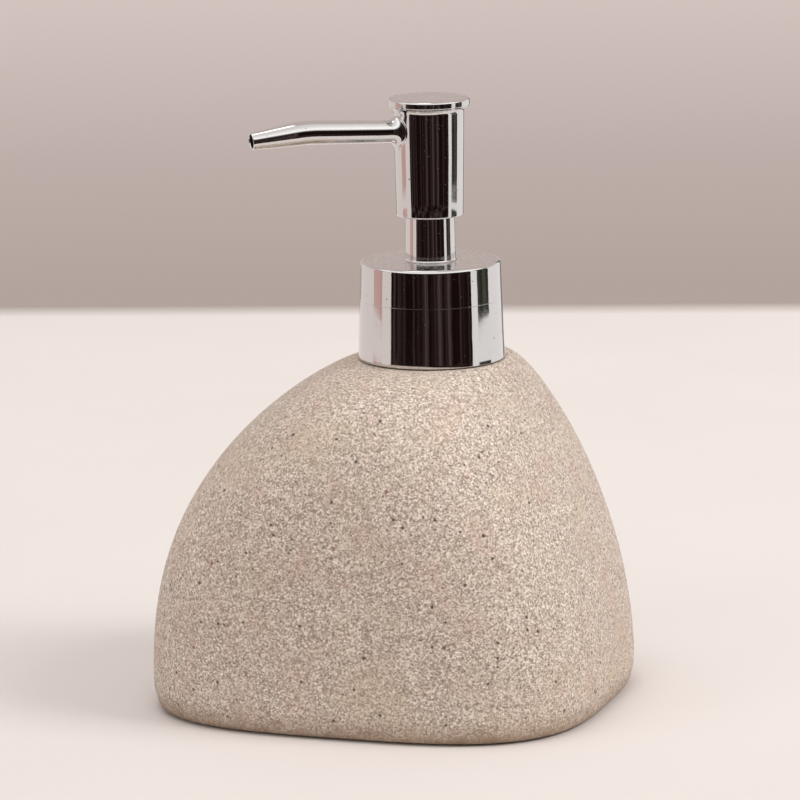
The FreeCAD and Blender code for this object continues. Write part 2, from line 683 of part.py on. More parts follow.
dip_tube = turned_body(
    "dip_tube",
    [
        (TUBE_BORE, f"{FLOOR} + dims.tube_clear"),
        (TUBE, f"{FLOOR} + dims.tube_clear"),
        (TUBE, SOCKET_TOP),
        (TUBE_BORE, SOCKET_TOP),
    ],
)


def coil_spring():
    """Round wire wound between the ball cage and the stem foot's seat, its ends just clear."""
    long = number(SPRING_HIGH) - number(SPRING_LOW)
    radius = number(SPRING)
    path = Part.makeHelix(long / size("spring_turns"), long, radius)
    wire = Part.makeCircle(size("spring_wire") / 2, Vector(radius, 0, 0), Vector(0, 1, 0))
    return Part.Wire(path.Edges).makePipeShell([Part.Wire([wire])], True, True)


return_spring = doc.addObject("Part::Feature", "return_spring")
return_spring.Label = "return_spring"
return_spring.Shape = coil_spring()
on_pump_axis(return_spring, level=SPRING_LOW)

# ---- what the finger moves ----

GROOVE = f"({STEM_LOW_BORE} + dims.bead_deep)"
SHANK = f"({STEM_LOW_BORE} - dims.running_gap)"
SHANK_TOP = f"({SEAT_TOP} + dims.shank_long)"
BEAD = f"({GROOVE} - dims.running_gap)"
PORT_BORE = "(dims.port_dia / 2 + dims.seat_gap * 2)"
PORT_GROOVE = f"({SHANK} - dims.port_dia / 3)"
stem = turned_body(
    "stem",
    [
        (STEM_LOW_BORE, f"{SEAT_TOP} + dims.seat_gap"),
        (STEM_LOW, f"{SEAT_TOP} + dims.seat_gap"),
        (STEM_LOW, COLLAR_LOW),
        (f"{CYLINDER} - dims.collar_gap", COLLAR_LOW),
        (f"{CYLINDER} - dims.collar_gap", COLLAR_TOP),
        (STEM, COLLAR_TOP),
        (STEM, STEM_TOP),
        (STEM_BORE, STEM_TOP),
        (STEM_BORE, f"{COLLAR_TOP} - dims.collar_thick / 3"),
        (STEM_LOW_BORE, f"{COLLAR_LOW} - dims.collar_thick / 3"),
        (STEM_LOW_BORE, f"{GROOVE_TOP} + dims.bead_deep"),
        (GROOVE, GROOVE_TOP),
        (GROOVE, GROOVE_LOW),
        (STEM_LOW_BORE, f"{GROOVE_LOW} - dims.bead_deep"),
    ],
    d("spout_heading"),
)
cut_hole(stem, "stem_port", "XZ_Plane", "0", PORT_LEVEL, d("port_dia"))
stem_foot = turned_body(
    "stem_foot",
    [
        ("0", f"{SEAT_LOW} - dims.spigot_long"),
        (SPIGOT, f"{SEAT_LOW} - dims.spigot_long"),
        (SPIGOT, SEAT_LOW),
        (SEAT, SEAT_LOW),
        (SEAT, SEAT_TOP),
        (SHANK, SEAT_TOP),
        (SHANK, f"{PORT_LEVEL} - dims.port_dia / 2 - dims.seat_gap"),
        (PORT_GROOVE, f"{PORT_LEVEL} - dims.port_dia / 2"),
        (PORT_GROOVE, f"{PORT_LEVEL} + dims.port_dia / 2"),
        (SHANK, f"{PORT_LEVEL} + dims.port_dia / 2 + dims.seat_gap"),
        (SHANK, f"{GROOVE_LOW} + dims.seat_gap"),
        (BEAD, f"{GROOVE_LOW} + dims.seat_gap * 2"),
        (BEAD, f"{GROOVE_TOP} - dims.seat_gap * 2"),
        (SHANK, f"{GROOVE_TOP} - dims.seat_gap"),
        (SHANK, SHANK_TOP),
        (PORT_BORE, SHANK_TOP),
        (PORT_BORE, f"{PORT_LEVEL} - dims.port_dia / 2"),
        ("0", f"{PORT_LEVEL} - dims.port_dia / 2"),
    ],
)
cut_hole(
    stem_foot, "shank_port", "XZ_Plane", "0", PORT_LEVEL, f"{d('port_dia')} - dims.seat_gap * 2"
)
SLIDE_BORE = f"({STEM_LOW} + dims.running_gap)"
SLEEVE = f"({SLIDE_BORE} + dims.sleeve_wall)"
LIP_BACK = f"({GUIDED} - dims.piston_waist_in + dims.running_gap)"
turned_body(
    "piston",
    [
        (f"{SLIDE_BORE} + dims.piston_relief", PISTON_LOW),
        (SLEEVE, PISTON_LOW),
        (f"{SLEEVE} + dims.seat_gap * 2", f"{PISTON_LOW} + dims.lip_tall"),
        (f"{GUIDED} - dims.lip_wall", f"{PISTON_LOW} + dims.lip_set_back"),
        (GUIDED, f"{PISTON_LOW} + dims.lip_set_back"),
        (GUIDED, f"{PISTON_LOW} + dims.lip_set_back + dims.lip_tall"),
        (LIP_BACK, f"{PISTON_LOW} + dims.lip_set_back + dims.lip_tall + dims.lip_slope"),
        (LIP_BACK, f"{PISTON_TOP} - dims.lip_set_back - dims.lip_tall - dims.lip_slope"),
        (GUIDED, f"{PISTON_TOP} - dims.lip_set_back - dims.lip_tall"),
        (GUIDED, f"{PISTON_TOP} - dims.lip_set_back"),
        (f"{GUIDED} - dims.lip_wall", f"{PISTON_TOP} - dims.lip_set_back"),
        (f"{SLEEVE} + dims.seat_gap * 2", f"{PISTON_TOP} - dims.lip_tall"),
        (SLEEVE, PISTON_TOP),
        (SLIDE_BORE, PISTON_TOP),
        (SLIDE_BORE, f"{PORT_LEVEL} + dims.port_dia / 2 + dims.piston_relief"),
        (f"{SLIDE_BORE} + dims.piston_relief", f"{PORT_LEVEL} + dims.port_dia / 2"),
    ],
)
head_core = turned_body(
    "head_core",
    [
        (f"{STEM} + dims.press_fit", SLEEVE_LOW),
        (CORE_SLEEVE, SLEEVE_LOW),
        (CORE_SLEEVE, CORE_LOW),
        (CORE, CORE_LOW),
        (CORE, CORE_TOP),
        ("0", CORE_TOP),
        ("0", f"{SPOUT_LEVEL} + dims.channel_dia / 2"),
        (STEM_BORE, f"{SPOUT_LEVEL} + dims.channel_dia / 2"),
        (STEM_BORE, STEM_TOP),
        (f"{STEM} + dims.press_fit", STEM_TOP),
    ],
    d("spout_heading"),
)
SPOUT_HOLE = "(dims.spout_root + dims.press_fit * 2)"
cut_hole(head_core, "channel", "YZ_Plane", "0", SPOUT_LEVEL, d("channel_dia"), BARREL_BORE)
cut_hole(head_core, "spout_socket", "YZ_Plane", "0", SPOUT_LEVEL, SPOUT_HOLE, BARREL_BORE)
FLARE_TOP = f"({CAP_LOW} - dims.flare_rim)"
FLARE_LOW = f"({FLARE_TOP} - sqrt(dims.flare_out * (2 * dims.flare_round - dims.flare_out)))"
head_barrel = turned_body(
    "head_barrel",
    [
        (BARREL_BORE, BARREL_LOW),
        (BARREL_BASE, BARREL_LOW),
        (BARREL, FLARE_LOW, d("flare_round"), -1),
        (FLARE, FLARE_TOP),
        (FLARE, CAP_LOW),
        (BARREL_BORE, CAP_LOW),
    ],
    d("spout_heading"),
)
cut_hole(head_barrel, "spout_hole", "YZ_Plane", "0", SPOUT_LEVEL, SPOUT_HOLE, FLARE)
head_cap = turned_body(
    "head_cap",
    [
        ("0", CORE_TOP),
        (CORE, CORE_TOP),
        (CORE, CAP_LOW),
        (CAP_DISC, CAP_LOW),
        (CAP_DISC, HEAD_TOP),
        ("0", HEAD_TOP),
    ],
)
round_rings(head_cap, "cap_edges", d("cap_edge"), [(CAP_DISC, HEAD_TOP), (CAP_DISC, CAP_LOW)])


def taper(first_dia, last_dia, start, way, long):
    """A cone, or a cylinder where both diameters are the same."""
    if first_dia == last_dia:
        return Part.makeCylinder(first_dia / 2, long, start, way)
    return Part.makeCone(first_dia / 2, last_dia / 2, long, start, way)


def along_spout(first_dia, bend_dia, last_dia, start, beyond):
    """Solid along the spout: level, turned up beyond its flare, and bent down to the tip."""
    level_way = Vector(1, 0, 0)
    foot = Vector(number(BARREL) + size("spout_flare"), 0, number(SPOUT_LEVEL))
    rise = math.radians(size("spout_rise"))
    fall = math.radians(size("spout_down"))
    up = Vector(math.cos(rise), 0, math.sin(rise))
    down = Vector(math.cos(fall), 0, -math.sin(fall))
    turn_radius = size("spout_turn_long") / math.sin(rise)
    turn_pivot = foot + Vector(0, 0, turn_radius)
    turn_end = turn_pivot + Vector(turn_radius * up.z, 0, -turn_radius * up.x)
    rising = (size("spout_straight") - turn_end.x) / up.x
    bend_start = turn_end + up * rising
    bend_radius = size("spout_bend_long") / (up.z - down.z)
    bend_pivot = bend_start + Vector(bend_radius * up.z, 0, -bend_radius * up.x)
    bend_end = bend_pivot + Vector(-bend_radius * down.z, 0, bend_radius * down.x)
    slope = (size("spout_reach") - bend_end.x) / down.x + beyond
    bend_angle = size("spout_rise") + size("spout_down")
    first_disc = Part.Face(Part.Wire([Part.makeCircle(first_dia / 2, foot, level_way)]))
    bend_disc = Part.Face(Part.Wire([Part.makeCircle(bend_dia / 2, bend_start, up)]))
    level_part = taper(first_dia, first_dia, Vector(start, 0, foot.z), level_way, foot.x - start)
    turn = first_disc.revolve(turn_pivot, Vector(0, -1, 0), size("spout_rise"))
    rising_part = taper(first_dia, bend_dia, turn_end, up, rising)
    bend = bend_disc.revolve(bend_pivot, Vector(0, 1, 0), bend_angle)
    slope_part = taper(bend_dia, last_dia, bend_end, down, slope)
    return level_part.fuse([turn, rising_part, bend, slope_part])


def spout_shape():
    root = size("spout_root")
    bore = size("spout_bore")
    barrel = number(BARREL)
    level = number(SPOUT_LEVEL)
    insert = size("spout_insert")
    way = Vector(1, 0, 0)
    spout = along_spout(root, size("spout_bend_dia"), size("spout_tip"), barrel, 0)
    flare = size("spout_flare")
    block = Part.makeCylinder(root / 2 + flare, flare + 1, Vector(barrel - 1, 0, level), way)
    ring_centre = Vector(barrel + flare, 0, level)
    block = block.cut(Part.makeTorus(root / 2 + flare, flare, ring_centre, way))
    spout = spout.fuse(block)
    barrel_low = Vector(0, 0, level - root * 2)
    inside = Part.makeCylinder(barrel + size("press_fit"), root * 4, barrel_low, Vector(0, 0, 1))
    spout = spout.cut(inside)
    inner_long = barrel + flare - insert
    inner_end = Part.makeCylinder(root / 2, inner_long, Vector(insert, 0, level), way)
    spout = spout.fuse(inner_end)
    return spout.cut(along_spout(bore, bore, bore, insert - 1, bore)).removeSplitter()


spout = doc.addObject("Part::Feature", "spout")
spout.Label = "spout"
spout.Shape = spout_shape()
on_pump_axis(spout, d("spout_heading"))

NODES = [
    "bottle_shell",
    "neck_insert",
    "base_plate",
    "base_pad",
    "closure_shell",
    "closure_nut",
    "gasket",
    "pump_housing",
    "housing_cap",
    "ball_cage",
    "inlet_ball",
    "dip_tube",
    "return_spring",
    "stem",
    "stem_foot",
    "piston",
    "head_core",
    "head_barrel",
    "head_cap",
    "spout",
]

doc.recompute()
for thing in doc.Objects:
    if "Invalid" in thing.State or "Error" in thing.State:
        raise ValueError(f"{thing.Name} is {thing.State}")
    if hasattr(thing, "Shape") and not thing.Shape.isNull() and not thing.Shape.isValid():
        raise ValueError(f"{thing.Name} has a faulty shape")
os.makedirs("parts", exist_ok=True)
for label in NODES:
    shape = doc.getObjectsByLabel(label)[0].Shape
    if shape.isNull() or not shape.isValid() or shape.Volume <= 0:
        raise ValueError(f"{label} has no valid solid")
    shape.exportStep(f"parts/{label}.step")
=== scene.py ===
import math

import bpy
import numpy as np
from mathutils import Matrix, Vector


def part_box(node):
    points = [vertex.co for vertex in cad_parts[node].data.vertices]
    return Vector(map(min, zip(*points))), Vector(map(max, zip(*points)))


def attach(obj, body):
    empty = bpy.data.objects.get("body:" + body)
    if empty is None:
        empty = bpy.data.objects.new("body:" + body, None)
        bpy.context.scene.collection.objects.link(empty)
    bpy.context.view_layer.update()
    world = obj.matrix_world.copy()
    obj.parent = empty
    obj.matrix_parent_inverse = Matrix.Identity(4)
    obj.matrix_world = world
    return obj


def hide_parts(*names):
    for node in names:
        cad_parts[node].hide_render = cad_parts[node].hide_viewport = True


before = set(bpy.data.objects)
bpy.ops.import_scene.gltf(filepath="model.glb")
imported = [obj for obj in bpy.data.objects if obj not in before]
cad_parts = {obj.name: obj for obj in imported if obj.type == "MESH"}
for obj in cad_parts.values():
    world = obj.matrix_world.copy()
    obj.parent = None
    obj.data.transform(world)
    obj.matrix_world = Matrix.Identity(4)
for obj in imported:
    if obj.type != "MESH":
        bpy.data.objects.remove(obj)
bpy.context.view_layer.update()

# Soap pump dispenser: a cast stone-look bottle with a chromed screw-on pump.
# Metres, +Z up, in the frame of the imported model. Outlines are (radius, height) in millimetres.

MM = 0.001


def level_of(node, end):
    """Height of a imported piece's bottom (end 0) or top (end 1), in millimetres."""
    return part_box(node)[end][2] / MM


def radius_of(node):
    """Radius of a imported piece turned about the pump's axis, in millimetres."""
    low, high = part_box(node)
    return (high[1] - low[1]) / 2 / MM


# ---- places and sizes, in millimetres and degrees, with AXIS_X in metres ----

cap_low, cap_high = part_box("head_cap")
AXIS_X = (cap_low[0] + cap_high[0]) / 2
HEAD_TOP = level_of("head_cap", 1)
CAP_PLUG = level_of("head_cap", 0)
CAP_LOW = level_of("head_barrel", 1)
BARREL_LOW = level_of("head_barrel", 0)
SHELL_LOW = level_of("closure_shell", 0)
SHELL_ROOF = level_of("closure_nut", 1)
CHIMNEY_TOP = level_of("closure_shell", 1)
LAND = level_of("bottle_shell", 1)

CAP_RADIUS = radius_of("head_cap")
FLARE_RADIUS = radius_of("head_barrel")
COLLAR_RADIUS = radius_of("closure_shell")
ROOF_WALL = 1.0
SHELL_TOP = SHELL_ROOF + ROOF_WALL
COLLAR_DRAFT = 0.7
COLLAR_WALL = 0.9
CHIMNEY_RADIUS = 5.8
CHIMNEY_FOOT = 5.975
CHIMNEY_BORE = 5.0
BARREL_FOOT = 7.9
BARREL_RADIUS = 8.35
BARREL_BORE = 6.5
CAP_SPIGOT = 6.45
FLARE_HOLLOW = 1.3
FLARE_RIM = 0.25
SPOUT_DROP = 7.35
SPOUT_LEVEL = HEAD_TOP - SPOUT_DROP
SPOUT_HEADING = 218.4
SPOUT_ROOT = 2.7
SPOUT_BEND = 2.85
SPOUT_TIP = 2.05
SPOUT_BORE = 1.6
SPOUT_INNER_END = 3.6
SPOUT_SLEEVE_END = 6.0
SPOUT_FIRST_STEP = 0.4
SPOUT_SUNK = 0.03
SPOUT_LIP = 0.3
SPOUT_BORE_START = 0.8
SPOUT_FLARE = 0.9
SPOUT_TURN_LONG = 3.0
SPOUT_RISE = 2.9
SPOUT_STRAIGHT = 28.2
SPOUT_BEND_LONG = 5.0
SPOUT_FALL = 5.6
SPOUT_REACH = 43.8
SPOUT_FILLET = 1.8
POLE_RADIUS = 0.02

# ---- surfaces ----


def skin(name, rings, ends, bands=None):
    """Mesh over a grid of points whose rows are closed rings.

    Quad (i, j) joins points (i, j), (i, j + 1), (i + 1, j + 1) and (i + 1, j), and j wraps round.
    With ends "loop" the last ring joins the first. With ends "poles" each end ring is closed by a
    fan of triangles to its middle. bands gives each row of quads its material.
    """
    rows, around = rings.shape[:2]
    points = rings.reshape(-1, 3)
    last = rows if ends == "loop" else rows - 1
    row = np.arange(last)[:, None]
    column = np.arange(around)[None, :]
    after = (column + 1) % around
    below, above = row * around, (row + 1) % rows * around
    quads = np.stack([below + column, below + after, above + after, above + column], -1)
    faces = quads.reshape(-1, 4).tolist()
    material = np.repeat(np.zeros(last, int) if bands is None else bands, around)
    if ends == "poles":
        first_pole, last_pole = len(points), len(points) + 1
        points = np.vstack([points, rings[0].mean(0), rings[-1].mean(0)])
        turn = np.arange(around)
        start = np.stack([np.full(around, first_pole), (turn + 1) % around, turn], -1)
        top = (rows - 1) * around
        finish = np.stack([np.full(around, last_pole), top + turn, top + (turn + 1) % around], -1)
        faces += start.tolist() + finish.tolist()
        material = np.append(material, np.zeros(2 * around, int))
    mesh = bpy.data.meshes.new(name)
    mesh.from_pydata((points * MM).tolist(), [], faces)
    mesh.polygons.foreach_set("use_smooth", np.ones(len(faces), bool))
    mesh.polygons.foreach_set("material_index", material.astype(np.int32))
    mesh.update()
    piece = bpy.data.objects.new(name, mesh)
    bpy.context.scene.collection.objects.link(piece)
    return piece


def rounded(corners, closed, arc_points=9, side_points=7):
    """Outline of (radius, height, rounding) corners, each replaced by an arc tangent to both sides.

    For sides a and b that leave a corner at the angle 2h, the arc of radius r starts and ends
    r / tan h from the corner and its centre lies r / sin h along their bisector. The straight
    sides get points that crowd towards their ends, so that the shading stays flat between arcs.
    """
    place = np.array([corner[:2] for corner in corners], float)
    rounding = np.array([corner[2] for corner in corners], float)
    back = np.roll(place, 1, 0) - place
    ahead = np.roll(place, -1, 0) - place
    back /= np.linalg.norm(back, axis=1, keepdims=True)
    ahead /= np.linalg.norm(ahead, axis=1, keepdims=True)
    half = np.arccos(np.clip((back * ahead).sum(1), -1, 1)) / 2
    middle = back + ahead
    middle /= np.maximum(np.linalg.norm(middle, axis=1, keepdims=True), 1e-9)
    reach = rounding / np.tan(half)
    if not closed:
        reach[[0, -1]] = 0
        rounding[[0, -1]] = 0
    centre = place + middle * (rounding / np.sin(half))[:, None]
    start = place + back * reach[:, None]
    finish = place + ahead * reach[:, None]
    share = np.linspace(0, 1, arc_points)[None, :, None]
    sweep = np.maximum(np.pi - 2 * half, 1e-6)[:, None, None]
    from_start = np.sin((1 - share) * sweep) / np.sin(sweep)
    from_finish = np.sin(share * sweep) / np.sin(sweep)
    arcs = (
        centre[:, None]
        + from_start * (start - centre)[:, None]
        + from_finish * (finish - centre)[:, None]
    )
    crowd = (1 - np.cos(np.linspace(0, np.pi, side_points + 2)[1:-1])) / 2
    nexts = np.roll(start, -1, 0)
    sides = finish[:, None] + crowd[None, :, None] * (nexts - finish)[:, None]
    if not closed:
        sides = sides[:-1]
    parts = []
    for index in range(len(corners)):
        parts.append(arcs[index] if rounding[index] > 0 else place[index : index + 1])
        if index < len(sides):
            parts.append(sides[index])
    return np.vstack(parts)


def swung(x, y, angle):
    """Points turned about +Z: (x cos a - y sin a, x sin a + y cos a)."""
    return x * math.cos(angle) - y * math.sin(angle), x * math.sin(angle) + y * math.cos(angle)


def turned(name, outline, ends, around=192):
    """Surface of revolution: (radius, height) becomes (radius cos a, radius sin a, height).

    a runs once round the pump's axis, anticlockwise from above.
    """
    angle = np.linspace(0, 2 * np.pi, around, endpoint=False)
    radius, height = outline[:, :1], outline[:, 1:]
    rings = np.stack(
        [
            AXIS_X / MM + radius * np.cos(angle),
            radius * np.sin(angle),
            height + np.zeros(around),
        ],
        -1,
    )
    return skin(name, rings, ends)


def collar_outline():
    """Over-shell: leaning side, rounded shoulder, level top and the chimney with its fillet."""
    top = COLLAR_RADIUS - COLLAR_DRAFT
    return rounded(
        [
            (COLLAR_RADIUS - COLLAR_WALL, SHELL_LOW, 0.2),
            (COLLAR_RADIUS, SHELL_LOW, 0.15),
            (top, SHELL_TOP, 0.9),
            (CHIMNEY_FOOT, SHELL_TOP, 0.6),
            (CHIMNEY_RADIUS, CHIMNEY_TOP, 0.25),
            (CHIMNEY_BORE, CHIMNEY_TOP, 0.25),
            (CHIMNEY_BORE, SHELL_ROOF, 0.1),
            (top - COLLAR_WALL, SHELL_ROOF, 0.3),
        ],
        True,
    )


def barrel_outline():
    """Slim cone whose side turns out under the rim along an arc of radius FLARE_HOLLOW.

    At the angle t from level, the arc's radius is BARREL_RADIUS + FLARE_HOLLOW (1 - cos t) and its
    height is FLARE_HOLLOW sin t above its start.
    """
    flare_out = FLARE_RADIUS - BARREL_RADIUS
    whole = math.acos(1 - flare_out / FLARE_HOLLOW)
    flare_low = CAP_LOW - FLARE_RIM - FLARE_HOLLOW * math.sin(whole)
    turn = np.linspace(0, whole, 16)
    flare_side = BARREL_RADIUS + FLARE_HOLLOW * (1 - np.cos(turn))
    flare_rise = flare_low + FLARE_HOLLOW * np.sin(turn)
    flare = [(side, rise, 0) for side, rise in zip(flare_side, flare_rise)]
    return rounded(
        [(BARREL_BORE, BARREL_LOW, 0.2), (BARREL_FOOT, BARREL_LOW, 0.45)]
        + flare
        + [(FLARE_RADIUS, CAP_LOW, 0.12), (BARREL_BORE, CAP_LOW, 0.1)],
        True,
        side_points=3,
    )


def cap_outline():
    """Press pad: a disc with rounded edges over the spigot that plugs the barrel."""
    return rounded(
        [
            (POLE_RADIUS, CAP_PLUG, 0),
            (CAP_SPIGOT, CAP_PLUG, 0.3),
            (CAP_SPIGOT, CAP_LOW, 0.1),
            (CAP_RADIUS, CAP_LOW, 0.25),
            (CAP_RADIUS, HEAD_TOP, 0.6),
            (POLE_RADIUS, HEAD_TOP, 0),
        ],
        False,
    )


def spout_line(reach):
    """Middle line: level, an arc upwards, a straight rise, an arc over the bend, a straight fall.

    Along each arc the slope's sine changes evenly with reach, from 0 to sin RISE and from sin RISE
    to -sin FALL, so an arc that is w long and changes the sine by s has the radius w / s. The
    height is the integral of the slope, dz / dx = tan(angle), summed by trapezia on a fine grid.
    """
    foot = BARREL_RADIUS + SPOUT_FLARE
    knots = [foot, foot + SPOUT_TURN_LONG, SPOUT_STRAIGHT, SPOUT_STRAIGHT + SPOUT_BEND_LONG]
    rise, fall = math.sin(math.radians(SPOUT_RISE)), math.sin(math.radians(SPOUT_FALL))
    fine = np.linspace(0, SPOUT_REACH + 1, 4001)
    sine = np.interp(fine, knots, [0, rise, rise, -fall])
    slope = np.tan(np.arcsin(sine))
    steps = (slope[1:] + slope[:-1]) / 2 * (fine[1] - fine[0])
    height = SPOUT_LEVEL + np.concatenate([[0], np.cumsum(steps)])
    middle = np.stack([reach, 0 * reach, np.interp(reach, fine, height)], -1)
    angle = np.arcsin(np.interp(reach, fine, sine))
    up = np.stack([-np.sin(angle), 0 * reach, np.cos(angle)], -1)
    return middle, up


def spout_piece():
    """Tube along the spout's line: ring point = middle + radius (cos a side + sin a up).

    Outside, the radius swells from the root to the bend and falls evenly from there to the tip.
    Where it leaves the barrel, a quarter arc widens it into a fillet, whose foot follows the
    barrel: x is moved by sqrt(R^2 - (radius cos a)^2) - R. Inside runs the unplated bore.
    """
    fillet = np.linspace(0, np.pi / 2, 12)
    foot_reach = BARREL_RADIUS - SPOUT_SUNK + SPOUT_FILLET * (1 - np.cos(fillet))
    foot_radius = SPOUT_ROOT + SPOUT_FILLET * (1 - np.sin(fillet))
    bend_end = SPOUT_STRAIGHT + SPOUT_BEND_LONG
    tip_reach = SPOUT_REACH - SPOUT_LIP
    rise_reach = np.linspace(foot_reach[-1] + SPOUT_FIRST_STEP, SPOUT_STRAIGHT, 16)
    bend_reach = np.linspace(SPOUT_STRAIGHT, bend_end, 12)[1:]
    fall_reach = np.linspace(bend_end, tip_reach, 12)[1:]
    away_reach = np.concatenate([rise_reach, bend_reach, fall_reach])
    away_radius = np.interp(
        away_reach,
        [foot_reach[-1], SPOUT_STRAIGHT, bend_end, tip_reach],
        [SPOUT_ROOT, SPOUT_BEND, SPOUT_BEND, SPOUT_TIP],
    )
    lip = np.linspace(0, np.pi, 11)[1:]
    lip_middle, lip_half = (SPOUT_TIP + SPOUT_BORE) / 2, (SPOUT_TIP - SPOUT_BORE) / 2
    lip_reach = tip_reach + SPOUT_LIP * np.sin(lip)
    lip_radius = lip_middle + lip_half * np.cos(lip)
    bore_reach = np.linspace(SPOUT_REACH - SPOUT_BORE_START, SPOUT_INNER_END, 40)
    sleeve_reach = [SPOUT_INNER_END, SPOUT_SLEEVE_END]
    reach = np.concatenate([sleeve_reach, foot_reach, away_reach, lip_reach, bore_reach])
    radius = np.concatenate(
        [
            [SPOUT_ROOT, SPOUT_ROOT],
            foot_radius,
            away_radius,
            lip_radius,
            np.full(len(bore_reach), SPOUT_BORE),
        ]
    )
    angle = np.linspace(0, 2 * np.pi, 96, endpoint=False)
    middle, up = spout_line(reach)
    side = np.array([0.0, 1.0, 0.0])
    ring = middle[:, None] + radius[:, None, None] * (
        np.cos(angle)[None, :, None] * side + np.sin(angle)[None, :, None] * up[:, None]
    )
    is_outside = np.arange(len(reach)) < len(reach) - len(bore_reach)
    past_barrel = is_outside & (reach >= BARREL_RADIUS - 2 * SPOUT_SUNK)
    near = np.clip(1 - (reach - BARREL_RADIUS) / (3 * SPOUT_FILLET), 0, 1)
    near = np.where(past_barrel, near, 0)[:, None]
    across = np.clip(np.abs(ring[..., 1]), 0, BARREL_RADIUS)
    ring[..., 0] += near * (np.sqrt(BARREL_RADIUS**2 - across**2) - BARREL_RADIUS)
    x, y = swung(ring[..., 0], ring[..., 1], math.radians(SPOUT_HEADING))
    ring = np.stack([AXIS_X / MM + x, y, ring[..., 2]], -1)
    return skin("spout_tube", ring, "loop", (~is_outside).astype(int))


collar = turned("collar_shell", collar_outline(), "loop")
barrel = turned("barrel_sleeve", barrel_outline(), "loop")
cap = turned("press_pad", cap_outline(), "poles")
spout = spout_piece()

# ---- shader building ----


class Graph:
    """Adds nodes to one shader tree and joins them."""

    def __init__(self, tree):
        self.tree = tree

    def feed(self, socket, value):
        if isinstance(value, bpy.types.NodeSocket):
            self.tree.links.new(value, socket)
        elif socket.type == "RGBA" and len(value) == 3:
            socket.default_value = (*value, 1.0)
        else:
            socket.default_value = value

    def add(self, kind, inputs=None, **settings):
        node = self.tree.nodes.new(kind)
        for name, value in settings.items():
            setattr(node, name, value)
        for key, value in (inputs or {}).items():
            self.feed(node.inputs[key], value)
        return node

    def math(self, operation, a, b=0.0, clamp=False):
        node = self.add("ShaderNodeMath", {0: a, 1: b}, operation=operation, use_clamp=clamp)
        return node.outputs[0]

    def vector(self, operation, inputs, output=0):
        return self.add("ShaderNodeVectorMath", inputs, operation=operation).outputs[output]

    def level(self, vector):
        """Third part of a vector: a place's height in metres, or the rise of a direction."""
        return self.add("ShaderNodeSeparateXYZ", {"Vector": vector}).outputs["Z"]

    def ramp(self, value, low, high, to_low=0.0, to_high=1.0):
        """value carried from low..high to to_low..to_high and held at the ends."""
        limits = {"From Min": low, "From Max": high, "To Min": to_low, "To Max": to_high}
        return self.add("ShaderNodeMapRange", {"Value": value, **limits}).outputs["Result"]

    def blend(self, share, a, b):
        """Colour a where share is 0 and b where it is 1."""
        return self.add("ShaderNodeMix", {0: share, 6: a, 7: b}, data_type="RGBA").outputs[2]

    def lay(self, mask, share, under, over):
        """Colour over laid on colour under at the given share of the mask."""
        return self.blend(self.math("MULTIPLY", mask, share), under, over)

    def noise(self, vector, size, detail=2.0, roughness=0.5):
        """Soft noise whose patches are about size across, in metres."""
        inputs = {"Vector": vector, "Scale": 1 / size, "Detail": detail, "Roughness": roughness}
        return self.add("ShaderNodeTexNoise", inputs).outputs["Fac"]

    def bump(self, height, distance, strength=1.0):
        inputs = {"Height": height, "Distance": distance, "Strength": strength}
        return self.add("ShaderNodeBump", inputs).outputs["Normal"]

    def place(self, group, **inputs):
        """A node group with its inputs set; underscores in the names stand for spaces."""
        node = self.add("ShaderNodeGroup", node_tree=group)
        for name, value in inputs.items():
            self.feed(node.inputs[name.replace("_", " ")], value)
        return node.outputs


def effect(name, inputs, outputs):
    """Empty node group with named inputs and named number outputs.

    Each input has its usual value; one whose value is None is a vector.
    """
    tree = bpy.data.node_groups.new(name, "ShaderNodeTree")
    for socket, value in inputs.items():
        kind = "NodeSocketVector" if value is None else "NodeSocketFloat"
        made = tree.interface.new_socket(socket, in_out="INPUT", socket_type=kind)
        if value is not None:
            made.default_value = value
    for socket in outputs:
        tree.interface.new_socket(socket, in_out="OUTPUT", socket_type="NodeSocketFloat")
    graph = Graph(tree)
    return graph, graph.add("NodeGroupInput").outputs, graph.add("NodeGroupOutput").inputs


def sand_grain():
    """Packed grains: every cell has its own tone and hue, and stands up in its middle."""
    graph, given, result = effect(
        "sand_grain", {"Vector": None, "Grain size": 0.0005}, ["Tone", "Hue", "Height"]
    )
    scale = graph.math("DIVIDE", 1.0, given["Grain size"])
    cells = graph.add("ShaderNodeTexVoronoi", {"Vector": given["Vector"], "Scale": scale}).outputs
    channels = graph.add("ShaderNodeSeparateColor", {"Color": cells["Color"]}).outputs
    fine = graph.add(
        "ShaderNodeTexNoise",
        {"Vector": given["Vector"], "Scale": graph.math("MULTIPLY", scale, 0.8), "Detail": 3.0},
    ).outputs["Fac"]
    spread = graph.ramp(fine, 0.28, 0.72)
    cell_part = graph.math("MULTIPLY", channels[0], 0.5)
    tone = graph.math("ADD", cell_part, graph.math("MULTIPLY", spread, 0.5))
    graph.feed(result["Tone"], tone)
    graph.feed(result["Hue"], channels[1])
    dome = graph.math("SUBTRACT", 1.0, cells["Distance"])
    graph.feed(result["Height"], graph.math("ADD", dome, graph.math("MULTIPLY", spread, 0.6)))
    return graph.tree


